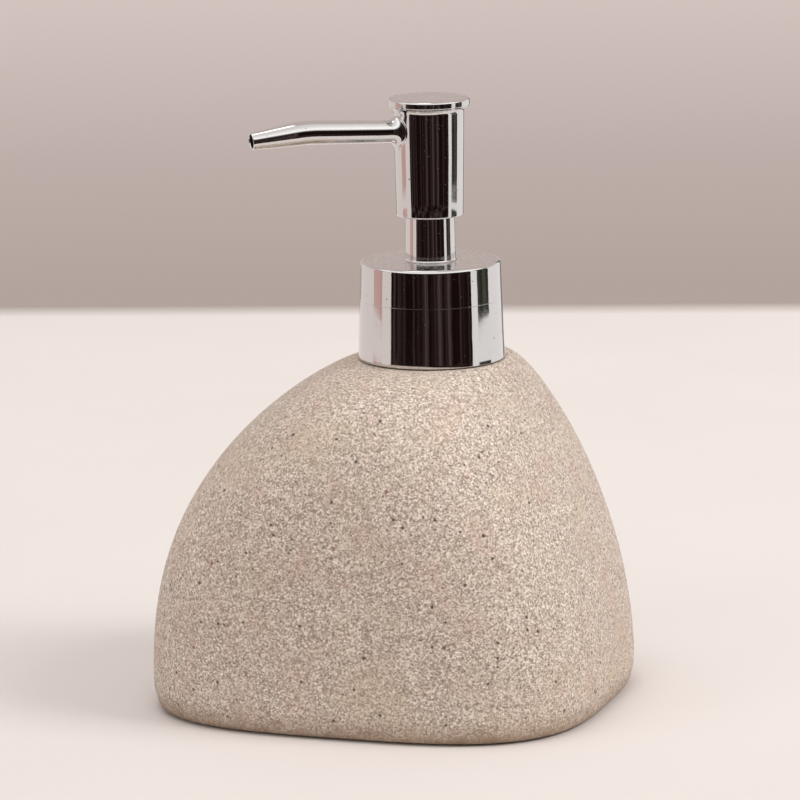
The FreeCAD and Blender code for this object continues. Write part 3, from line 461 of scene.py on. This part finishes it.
def scattered_specks():
    """Ragged specks: one candidate in each cell, kept for a share of the cells, of varied size."""
    graph, given, result = effect(
        "scattered_specks",
        {"Vector": None, "Spacing": 0.002, "Speck size": 0.0003, "Share": 0.5},
        ["Mask"],
    )
    scale = graph.math("DIVIDE", 1.0, given["Spacing"])
    jitter = graph.add("ShaderNodeTexNoise", {"Vector": given["Vector"], "Scale": 2500.0}).outputs
    centred = graph.vector("SUBTRACT", {0: jitter["Color"], 1: (0.5, 0.5, 0.5)})
    shift = graph.vector("SCALE", {0: centred, "Scale": given["Speck size"]})
    ragged = graph.vector("ADD", {0: given["Vector"], 1: shift})
    cells = graph.add("ShaderNodeTexVoronoi", {"Vector": ragged, "Scale": scale}).outputs
    channels = graph.add("ShaderNodeSeparateColor", {"Color": cells["Color"]}).outputs
    away = graph.math("MULTIPLY", cells["Distance"], given["Spacing"])
    own_size = graph.math(
        "MULTIPLY", given["Speck size"], graph.math("ADD", 0.45, channels[1])
    )
    inside = graph.math("SUBTRACT", 1.0, graph.math("DIVIDE", away, own_size))
    solid = graph.math("MULTIPLY", inside, 3.0, clamp=True)
    chosen = graph.math("LESS_THAN", channels[0], given["Share"])
    graph.feed(result["Mask"], graph.math("MULTIPLY", solid, chosen))
    return graph.tree


def handling_marks():
    """Faint haze where hands and water have been, and fine settled dust."""
    usual = {"Vector": None, "Haze size": 0.012, "Dust size": 0.0011}
    graph, given, result = effect("handling_marks", usual, ["Haze", "Dust"])
    haze_scale = graph.math("DIVIDE", 1.0, given["Haze size"])
    haze = graph.add(
        "ShaderNodeTexNoise",
        {"Vector": given["Vector"], "Scale": haze_scale, "Detail": 5.0, "Roughness": 0.62},
    ).outputs["Fac"]
    graph.feed(result["Haze"], graph.ramp(haze, 0.45, 0.75))
    specks = graph.place(
        specks_group,
        Vector=given["Vector"],
        Spacing=given["Dust size"],
        Speck_size=0.00011,
        Share=0.5,
    )
    graph.feed(result["Dust"], specks["Mask"])
    return graph.tree


def plating_ripple():
    """Long soft swells of a plated moulding, with finer orange peel over them."""
    graph, given, result = effect("plating_ripple", {"Vector": None, "Swell": 0.009}, ["Height"])
    swell_scale = graph.math("DIVIDE", 1.0, given["Swell"])
    swell = graph.add(
        "ShaderNodeTexNoise", {"Vector": given["Vector"], "Scale": swell_scale, "Detail": 1.0}
    ).outputs["Fac"]
    peel = graph.add(
        "ShaderNodeTexNoise", {"Vector": given["Vector"], "Scale": 700.0, "Detail": 2.0}
    ).outputs["Fac"]
    graph.feed(result["Height"], graph.math("ADD", swell, graph.math("MULTIPLY", peel, 0.045)))
    return graph.tree


def moulded_skin():
    """Fine texture and cloudy tone of a moulded plastic."""
    graph, given, result = effect(
        "moulded_skin", {"Vector": None, "Texture": 0.0006}, ["Tone", "Height"]
    )
    fine_scale = graph.math("DIVIDE", 1.0, given["Texture"])
    fine = graph.add(
        "ShaderNodeTexNoise", {"Vector": given["Vector"], "Scale": fine_scale, "Detail": 3.0}
    ).outputs["Fac"]
    graph.feed(result["Height"], fine)
    graph.feed(result["Tone"], graph.noise(given["Vector"], 0.006, 3.0))
    return graph.tree


sand_group = sand_grain()
specks_group = scattered_specks()
marks_group = handling_marks()
ripple_group = plating_ripple()
skin_group = moulded_skin()


def new_material(name):
    """Empty material, what adds its nodes, and the Object coordinates that its patterns read."""
    material = bpy.data.materials.new(name)
    material.use_nodes = True
    material.node_tree.nodes.clear()
    graph = Graph(material.node_tree)
    return material, graph, graph.add("ShaderNodeTexCoord").outputs["Object"]


def finish_material(graph, inputs):
    """One Principled shader with these inputs, joined to the output."""
    shader = graph.add("ShaderNodeBsdfPrincipled", inputs)
    graph.add("ShaderNodeOutputMaterial", {"Surface": shader.outputs["BSDF"]})


COARSE_GRAIN = 0.00042
FINE_GRAIN = 0.00026
COARSE_PART = 0.62
# Colour, size of its patches, their detail, the noise at which it sets in and its greatest share.
STONE_DRIFTS = [
    ((0.52, 0.33, 0.27), 0.011, 3.0, 0.5, 0.35),
    ((0.58, 0.46, 0.31), 0.017, 2.0, 0.52, 0.28),
]
# Colour, spacing, size, share of the cells and strength of each kind of speck.
STONE_SPECKS = {
    "grey": ((0.15, 0.12, 0.1), 0.0011, 0.0003, 0.45, 0.5),
    "ochre": ((0.33, 0.15, 0.06), 0.0036, 0.0004, 0.4, 0.55),
    "red": ((0.2, 0.03, 0.03), 0.0062, 0.00042, 0.4, 0.75),
    "black": ((0.03, 0.022, 0.018), 0.0024, 0.00036, 0.5, 0.85),
}


def cast_stone(name, pale, middle, dark, foot=None):
    """Sand grains in resin: three tones by grain, slow pink and sandy drifts, and four specks.

    foot is the colour of a painted shade, laid darker brown over the lowest few millimetres.
    """
    material, graph, vector = new_material(name)
    grain = graph.place(sand_group, Vector=vector, Grain_size=COARSE_GRAIN)
    fine = graph.place(sand_group, Vector=vector, Grain_size=FINE_GRAIN)
    coarse_tone = graph.math("MULTIPLY", grain["Tone"], COARSE_PART)
    fine_tone = graph.math("MULTIPLY", fine["Tone"], 1 - COARSE_PART)
    mixed = graph.math("ADD", coarse_tone, fine_tone)
    low_half = graph.blend(graph.ramp(mixed, 0.26, 0.5), dark, middle)
    colour = graph.blend(graph.ramp(mixed, 0.5, 0.74), low_half, pale)
    for drift, size, detail, start, most in STONE_DRIFTS:
        patch = graph.ramp(graph.noise(vector, size, detail), start, 0.75, 0.0, most)
        colour = graph.blend(patch, colour, drift)
    masks = {}
    for kind, (speck, spacing, size, share, strength) in STONE_SPECKS.items():
        masks[kind] = graph.place(
            specks_group, Vector=vector, Spacing=spacing, Speck_size=size, Share=share
        )["Mask"]
        colour = graph.lay(masks[kind], strength, colour, speck)
    if foot is not None:
        # Painted shade: the lowest few millimetres of the stone turn darker brown, as the rounded
        # base would in shade.
        lowest = graph.ramp(graph.level(vector), 0.0014, 0.006, 1.3, 0.0)
        colour = graph.lay(lowest, graph.noise(vector, 0.004, 4.0), colour, foot)
    pits = graph.math("MULTIPLY", graph.math("ADD", masks["black"], masks["grey"]), 1.6)
    surface = graph.math("SUBTRACT", graph.math("ADD", grain["Height"], fine["Height"]), pits)
    roughness = graph.ramp(mixed, 0.3, 0.8, 0.62, 0.44)
    finish_material(
        graph,
        {
            "Base Color": colour,
            "Roughness": roughness,
            "Specular IOR Level": 0.42,
            "Normal": graph.bump(surface, 0.00007, 0.75),
        },
    )
    return material


PLATE_RIPPLE = 0.00006
PLATE_PIT = (0.12, 0.09, 0.08)
PLATE_DUST = (0.45, 0.41, 0.38)
PLATE_LINE = (0.5, 0.46, 0.44)
PLATE_SATIN = (0.4, 0.37, 0.32)


def plating(name, tint, polish, haze, line_level=None, satin_above=None):
    """Chrome plate: rippled mirror with haze, settled dust, and pits where the plate is thin.

    A faint line may run round at line_level, and the level face at satin_above may be worn satin.
    """
    material, graph, vector = new_material(name)
    marks = graph.place(marks_group, Vector=vector)
    pits = graph.place(specks_group, Vector=vector, Spacing=0.0019, Speck_size=0.00016, Share=0.35)
    roughness = graph.ramp(marks["Haze"], 0.0, 1.0, polish, polish + haze)
    roughness = graph.math("ADD", roughness, graph.math("MULTIPLY", marks["Dust"], 0.2), clamp=True)
    drift = graph.ramp(graph.noise(vector, 0.02, 2.0), 0.3, 0.7, 0.0, 0.25)
    colour = graph.blend(drift, tint, tuple(0.9 * part for part in tint))
    colour = graph.lay(pits["Mask"], 0.7, colour, PLATE_PIT)
    colour = graph.lay(marks["Dust"], 0.4, colour, PLATE_DUST)
    metallic = graph.math("SUBTRACT", 1.0, graph.math("MULTIPLY", marks["Dust"], 0.1), clamp=True)
    ripples = graph.place(ripple_group, Vector=vector)
    height = graph.math("SUBTRACT", ripples["Height"], graph.math("MULTIPLY", pits["Mask"], 0.25))
    if line_level is not None:
        above_line = graph.math("SUBTRACT", graph.level(vector), line_level * MM)
        away = graph.math("ABSOLUTE", above_line)
        line = graph.ramp(away, 0.00003, 0.00009, 1.0, 0.0)
        broken = graph.ramp(graph.noise(vector, 0.01), 0.35, 0.6, 0.3, 1.0)
        line = graph.math("MULTIPLY", line, broken)
        colour = graph.lay(line, 0.4, colour, PLATE_LINE)
        roughness = graph.math("ADD", roughness, graph.math("MULTIPLY", line, 0.25), clamp=True)
        height = graph.math("SUBTRACT", height, graph.math("MULTIPLY", line, 0.05))
    if satin_above is not None:
        level = graph.level(vector)
        on_top = graph.ramp(level, (satin_above - 0.06) * MM, (satin_above - 0.01) * MM)
        below = graph.ramp(level, (satin_above + 0.1) * MM, (satin_above + 0.3) * MM, 1.0, 0.0)
        satin = graph.math("MULTIPLY", on_top, below)
        spotted = graph.ramp(graph.noise(vector, 0.0012, 5.0, 0.7), 0.35, 0.65, 0.25, 1.0)
        worn = graph.math("MULTIPLY", satin, spotted)
        roughness = graph.math("ADD", roughness, graph.math("MULTIPLY", worn, 0.24), clamp=True)
        colour = graph.lay(worn, 0.6, colour, PLATE_SATIN)
    finish_material(
        graph,
        {
            "Base Color": colour,
            "Metallic": metallic,
            "Roughness": roughness,
            "Normal": graph.bump(height, PLATE_RIPPLE),
        },
    )
    return material


PLASTIC_DUST = (0.35, 0.32, 0.29)


def moulded_plastic(name, colour, shade, roughness, clearness=0.0, softness=0.0):
    """Moulded plastic: cloudy tone between two colours, fine skin, slightly uneven gloss."""
    material, graph, vector = new_material(name)
    cast = graph.place(skin_group, Vector=vector)
    marks = graph.place(marks_group, Vector=vector)
    tone = graph.ramp(cast["Tone"], 0.35, 0.65)
    tinted = graph.blend(tone, colour, shade)
    tinted = graph.lay(marks["Dust"], 0.25, tinted, PLASTIC_DUST)
    gloss = graph.ramp(marks["Haze"], 0.0, 1.0, roughness, min(roughness + 0.14, 1.0))
    finish_material(
        graph,
        {
            "Base Color": tinted,
            "Roughness": gloss,
            "Transmission Weight": clearness,
            "Subsurface Weight": softness,
            "Subsurface Radius": (0.002, 0.002, 0.002),
            "Subsurface Scale": 0.5,
            "Normal": graph.bump(cast["Height"], 0.00003, 0.6),
        },
    )
    return material


def foam(name, colour, shade, cell):
    """Closed-cell foam: small dented cells and a dry, uneven surface."""
    material, graph, vector = new_material(name)
    cells = graph.place(sand_group, Vector=vector, Grain_size=cell)
    tinted = graph.blend(graph.ramp(cells["Tone"], 0.3, 0.7), shade, colour)
    finish_material(
        graph,
        {
            "Base Color": tinted,
            "Roughness": graph.ramp(cells["Hue"], 0.0, 1.0, 0.78, 0.95),
            "Specular IOR Level": 0.25,
            "Normal": graph.bump(cells["Height"], 0.0002, 0.8),
        },
    )
    return material


STEEL_TARNISH = (0.3, 0.26, 0.22)


def drawn_steel(name, tint, roughness, stretch):
    """Bright steel with fine marks drawn out along one way and a little tarnish."""
    material, graph, vector = new_material(name)
    pulled = graph.add("ShaderNodeMapping", {"Vector": vector, "Scale": stretch}).outputs["Vector"]
    scratches = graph.noise(pulled, 0.0002, 4.0, 0.7)
    marks = graph.place(marks_group, Vector=vector, Haze_size=0.004)
    colour = graph.lay(marks["Haze"], 0.35, tint, STEEL_TARNISH)
    finish_material(
        graph,
        {
            "Base Color": colour,
            "Metallic": 1.0,
            "Roughness": graph.ramp(scratches, 0.3, 0.7, roughness, roughness + 0.15),
            "Normal": graph.bump(scratches, 0.00001, 0.5),
        },
    )
    return material


# ---- finishes ----

STONE_PALE = (0.86, 0.77, 0.68)
STONE_MIDDLE = (0.52, 0.43, 0.355)
STONE_DARK = (0.25, 0.19, 0.145)
# Colour of the painted shade along the stone's bottom edge.
STONE_BASE_SHADE = (0.3, 0.2, 0.13)
CHROME = (0.72, 0.715, 0.71)

finishes = {
    "bottle_shell": cast_stone("stone_resin", STONE_PALE, STONE_MIDDLE, STONE_DARK, STONE_BASE_SHADE),
    "base_plate": cast_stone(
        "plate_resin", (0.6, 0.52, 0.45), (0.42, 0.34, 0.28), (0.24, 0.18, 0.14)
    ),
    "base_pad": foam("pad_foam", (0.05, 0.05, 0.052), (0.02, 0.02, 0.022), 0.0004),
    "neck_insert": moulded_plastic("neck_plastic", (0.78, 0.76, 0.71), (0.7, 0.68, 0.63), 0.34),
    "closure_nut": moulded_plastic("nut_plastic", (0.82, 0.82, 0.8), (0.75, 0.75, 0.73), 0.32),
    "gasket": foam("gasket_foam", (0.78, 0.78, 0.75), (0.62, 0.62, 0.6), 0.0003),
    "pump_housing": moulded_plastic(
        "natural_plastic", (0.84, 0.86, 0.85), (0.76, 0.79, 0.79), 0.28, softness=0.5
    ),
    "housing_cap": moulded_plastic("cap_plastic", (0.82, 0.82, 0.79), (0.74, 0.74, 0.72), 0.33),
    "ball_cage": moulded_plastic("cage_plastic", (0.8, 0.82, 0.82), (0.72, 0.74, 0.75), 0.3),
    "inlet_ball": drawn_steel("ball_steel", (0.62, 0.62, 0.61), 0.06, (1.0, 1.0, 1.0)),
    "dip_tube": moulded_plastic(
        "tube_plastic", (0.86, 0.88, 0.88), (0.8, 0.83, 0.84), 0.22, clearness=0.45
    ),
    "return_spring": drawn_steel("spring_steel", (0.56, 0.55, 0.53), 0.2, (1.0, 1.0, 8.0)),
    "stem": moulded_plastic("stem_plastic", (0.84, 0.84, 0.82), (0.77, 0.77, 0.75), 0.26),
    "stem_foot": moulded_plastic("foot_plastic", (0.82, 0.83, 0.82), (0.74, 0.76, 0.75), 0.3),
    "piston": moulded_plastic(
        "piston_plastic", (0.85, 0.86, 0.86), (0.78, 0.8, 0.8), 0.36, softness=0.4
    ),
    "head_core": moulded_plastic("core_plastic", (0.8, 0.79, 0.76), (0.72, 0.71, 0.69), 0.35),
}
for node, finish in finishes.items():
    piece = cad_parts[node]
    piece.data.materials.clear()
    piece.data.materials.append(finish)

LINE_DROP = 9.0
collar_finish = {
    "polish": 0.045,
    "haze": 0.04,
    "line_level": SHELL_TOP - LINE_DROP,
    "satin_above": SHELL_TOP,
}
cap_finish = {"polish": 0.07, "haze": 0.08, "satin_above": HEAD_TOP}
bare_bore = moulded_plastic("bare_bore", (0.045, 0.042, 0.04), (0.025, 0.024, 0.023), 0.4)
made = {
    collar: ("closure_shell", "closure", "collar_chrome", collar_finish),
    barrel: ("head_barrel", "head", "barrel_chrome", {"polish": 0.045, "haze": 0.05}),
    cap: ("head_cap", "head", "cap_chrome", cap_finish),
    spout: ("spout", "head", "spout_chrome", {"polish": 0.06, "haze": 0.06}),
}
for piece, (node, body, slot, finish) in made.items():
    piece.data.materials.append(plating(slot, CHROME, **finish))
    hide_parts(node)
    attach(piece, body)
spout.data.materials.append(bare_bore)

# ---- floor, camera and light ----

AZIMUTH = math.radians(18.37)
ELEVATION = math.radians(11.225)
ROLL = math.radians(-0.798)
DISTANCE = 1.1785
AIM_ASIDE = -0.00745
AIM_BELOW = -0.01009

level_right = Vector((math.cos(AZIMUTH), math.sin(AZIMUTH), 0))
back = Vector(
    (
        math.sin(AZIMUTH) * math.cos(ELEVATION),
        -math.cos(AZIMUTH) * math.cos(ELEVATION),
        math.sin(ELEVATION),
    )
)
level_up = back.cross(level_right)
right = level_right * math.cos(ROLL) + level_up * math.sin(ROLL)
up = level_up * math.cos(ROLL) - level_right * math.sin(ROLL)
neck = Vector((AXIS_X, 0, LAND * MM))
aim = neck + right * AIM_ASIDE + up * AIM_BELOW

camera_data = bpy.data.cameras.new("camera")
camera_data.sensor_width = 36.0
camera_data.lens = 225.0
camera_data.clip_start = 0.01
camera_data.clip_end = 20.0
camera = bpy.data.objects.new("camera", camera_data)
turn = Matrix((right, up, back)).transposed().to_4x4()
camera.matrix_world = Matrix.Translation(aim + back * DISTANCE) @ turn
bpy.context.scene.collection.objects.link(camera)
bpy.context.scene.camera = camera
bpy.context.scene.view_settings.view_transform = "Standard"


TABLE_TURN = AZIMUTH - math.radians(2.9)
TABLE_HALF = 0.53
TABLE_THICK = 0.03
TABLE_CORNER = 0.04


def table_top(half, thickness, round_corner):
    """Rounded square slab, turned about +Z: corner arcs at half - r from the middle.

    Its upper edge is drawn in over its last 4 mm of height.
    """
    corner = np.repeat([0, 1, 2, 3], 12)
    angle = corner * np.pi / 2 + np.tile(np.linspace(0, np.pi / 2, 12), 4)
    sign_x = np.array([1, -1, -1, 1])[corner]
    sign_y = np.array([1, 1, -1, -1])[corner]
    inner = half - round_corner
    x, y = swung(
        sign_x * inner + round_corner * np.cos(angle),
        sign_y * inner + round_corner * np.sin(angle),
        TABLE_TURN,
    )
    heights = np.array([-thickness, -0.004, -0.001, 0.0])[:, None]
    drawn_in = 1 - np.array([0.0, 0.0, 0.001, 0.004])[:, None] / half
    rings = np.stack([drawn_in * x, drawn_in * y, heights + 0 * x], -1)
    return skin("table_top", rings / MM, "poles")


def painted_board():
    """Pale satin paint with a barely seen roller texture.

    It has painted shade: a little darker on the near side, and darker again where the far edge
    rolls over.
    """
    material, graph, vector = new_material("painted_board")
    tone = graph.ramp(graph.noise(vector, 0.09, 3.0), 0.3, 0.7)
    colour = graph.blend(tone, (0.8, 0.748, 0.72), (0.78, 0.728, 0.7))
    far = (-math.sin(TABLE_TURN), math.cos(TABLE_TURN), 0.0)
    away = graph.vector("DOT_PRODUCT", {0: vector, 1: far}, "Value")
    # Painted light and shade: darker towards the near side, lighter towards the back.
    lit = graph.ramp(away, -0.1, 0.45)
    colour = graph.blend(lit, graph.blend(0.5, colour, (0.61, 0.575, 0.555)), colour)
    # Painted shade along the far edge, where it rolls over.
    edge = graph.ramp(away, TABLE_HALF - 0.024, TABLE_HALF - 0.004)
    colour = graph.blend(edge, colour, (0.42, 0.36, 0.335))
    texture = graph.noise(vector, 0.0015, 3.0)
    finish_material(
        graph,
        {
            "Base Color": colour,
            "Roughness": graph.ramp(texture, 0.3, 0.7, 0.7, 0.8),
            "Specular IOR Level": 0.0,
            "Normal": graph.bump(texture, 0.00003, 0.3),
        },
    )
    return material


table = table_top(TABLE_HALF, TABLE_THICK, TABLE_CORNER)
table.data.materials.append(painted_board())

LIGHT_AIM = Vector((0, 0, 0.06))


def soft_light(name, direction, distance, width, height, power, colour):
    """Area light facing the bottle from a direction given as (right, up, towards the viewer)."""
    flat_back = Vector((back.x, back.y, 0)).normalized()
    way = level_right * direction[0] + Vector((0, 0, 1)) * direction[1] + flat_back * direction[2]
    way.normalize()
    lamp = bpy.data.lights.new(name, "AREA")
    lamp.shape = "RECTANGLE"
    lamp.size = width
    lamp.size_y = height
    lamp.energy = power
    lamp.color = colour
    light = bpy.data.objects.new(name, lamp)
    light.location = LIGHT_AIM + way * distance
    light.rotation_euler = way.to_track_quat("Z", "Y").to_euler()
    bpy.context.scene.collection.objects.link(light)


soft_light("key_light", (0.9, 0.8, 0.35), 2.2, 0.9, 0.9, 24.5, (1.0, 0.985, 0.975))
soft_light("top_light", (-0.15, 1.0, 0.1), 2.2, 1.4, 1.4, 16.5, (1.0, 0.98, 0.97))
soft_light("fill_light", (-0.9, 0.5, 0.6), 2.2, 1.2, 1.2, 5.0, (1.0, 0.97, 0.95))


def reflection_card(name, start, end, profile, colour, streak=None, skirt=None, fade=False):
    """Card curved about the bottle: x = r sin a, y = -r cos a, with (r, z) along its profile.

    a goes from start to end degrees, measured from the viewer's side to the right. The card shows
    only in polished surfaces. streak is the colour of its upright streaks, skirt that of its foot,
    up to some 12 mm high, and a card that fades is dark at its lower edge, brightest above that
    and dimmer overhead.
    """
    angle = AZIMUTH + np.radians(np.linspace(start, end, 25))
    radius, height = np.array(profile).T[:, :, None]
    points = np.stack(
        [radius * np.sin(angle), -radius * np.cos(angle), height + 0 * angle], -1
    ).reshape(-1, 3)
    row = np.arange(len(profile) - 1)[:, None] * len(angle)
    first = (row + np.arange(len(angle) - 1)).reshape(-1)
    faces = np.stack([first, first + 1, first + 1 + len(angle), first + len(angle)], -1)
    mesh = bpy.data.meshes.new(name)
    mesh.from_pydata(points.tolist(), [], faces.tolist())
    piece = bpy.data.objects.new(name, mesh)
    bpy.context.scene.collection.objects.link(piece)
    material, graph, vector = new_material(name)
    shade = colour
    if streak is not None:
        drawn_up = {"Vector": vector, "Scale": (1, 1, 0.02)}
        upright = graph.add("ShaderNodeMapping", drawn_up).outputs[0]
        wide = graph.ramp(graph.noise(upright, 0.13, 3.0, 0.6), 0.46, 0.62)
        narrow = graph.ramp(graph.noise(upright, 0.035, 3.0, 0.6), 0.45, 0.7, 0.25, 1.0)
        shade = graph.blend(graph.math("MULTIPLY", wide, narrow), shade, streak)
    if skirt is not None:
        level = graph.level(vector)
        low_part = graph.ramp(level, 0.011, 0.015, 1.0, 0.0)
        off_table = graph.ramp(level, 0.001, 0.0016)
        shade = graph.blend(graph.math("MULTIPLY", low_part, off_table), shade, skirt)
    strength = 1.0
    if fade:
        level = graph.level(vector)
        bright = graph.ramp(level, 0.33, 0.47, 0.06, 1.0)
        strength = graph.math("MULTIPLY", bright, graph.ramp(level, 0.5, 0.77, 1.0, 0.6))
    glow = graph.add("ShaderNodeEmission", {"Color": shade, "Strength": strength}).outputs[0]
    graph.add("ShaderNodeOutputMaterial", {"Surface": glow})
    mesh.materials.append(material)
    piece.visible_camera = False
    piece.visible_diffuse = False
    piece.visible_transmission = False
    piece.visible_shadow = False


# Profiles are (radius, height) in metres.
UPRIGHT = [(0.22, 0.0005), (0.53, 0.001), (0.55, 0.0016), (0.588, 0.002), (0.6, 0.33)]
DOME = [(0.6, 0.33), (0.575, 0.45), (0.5, 0.58), (0.36, 0.7), (0.18, 0.76), (0.01, 0.78)]
WHITE_LEFT = (0.82, 0.73, 0.7)
WHITE_RIGHT = (0.92, 0.88, 0.87)

reflection_card("dark_card", -66, 67, UPRIGHT, (0.009, 0.004, 0.0035), (0.13, 0.09, 0.085))
reflection_card("left_edge_card", -84, -66, UPRIGHT, WHITE_LEFT)
reflection_card("warm_card", -104, -84, UPRIGHT, (0.6, 0.36, 0.32), WHITE_LEFT, WHITE_LEFT)
reflection_card("left_card", -152, -104, UPRIGHT, WHITE_LEFT)
reflection_card("right_slit_card", 67, 79, UPRIGHT, WHITE_RIGHT)
reflection_card("green_card", 79, 105, UPRIGHT, (0.03, 0.03, 0.02), (0.2, 0.2, 0.17), WHITE_RIGHT)
reflection_card("right_card", 105, 152, UPRIGHT, WHITE_RIGHT)
reflection_card("right_edge_card", 152, 166, UPRIGHT, (0.25, 0.23, 0.22))
reflection_card("ceiling_card", -105, 105, DOME, (1.35, 1.32, 1.3), fade=True)


LOW_WALL = (0.448, 0.37, 0.337)
MIDDLE_WALL = (0.509, 0.423, 0.397)
HIGH_WALL = (0.645, 0.545, 0.515)
ROOM_LIGHT = (0.61, 0.58, 0.565)


def backdrop():
    """Pinkish grey wall, darker towards the table, in view and in reflections; pale room light."""
    world = bpy.data.worlds.new("backdrop")
    world.use_nodes = True
    world.node_tree.nodes.clear()
    graph = Graph(world.node_tree)
    way = graph.add("ShaderNodeTexCoord").outputs["Generated"]
    rise = graph.level(way)
    wall = graph.blend(graph.ramp(rise, -0.172, -0.147), LOW_WALL, MIDDLE_WALL)
    wall = graph.blend(graph.ramp(rise, -0.147, -0.116), wall, HIGH_WALL)
    rays = graph.add("ShaderNodeLightPath").outputs
    seen = graph.math("MAXIMUM", rays["Is Camera Ray"], rays["Is Glossy Ray"])
    colour = graph.blend(seen, ROOM_LIGHT, wall)
    light = graph.add("ShaderNodeBackground", {"Color": colour, "Strength": 1.0}).outputs[0]
    graph.add("ShaderNodeOutputWorld", {"Surface": light})
    bpy.context.scene.world = world


backdrop()
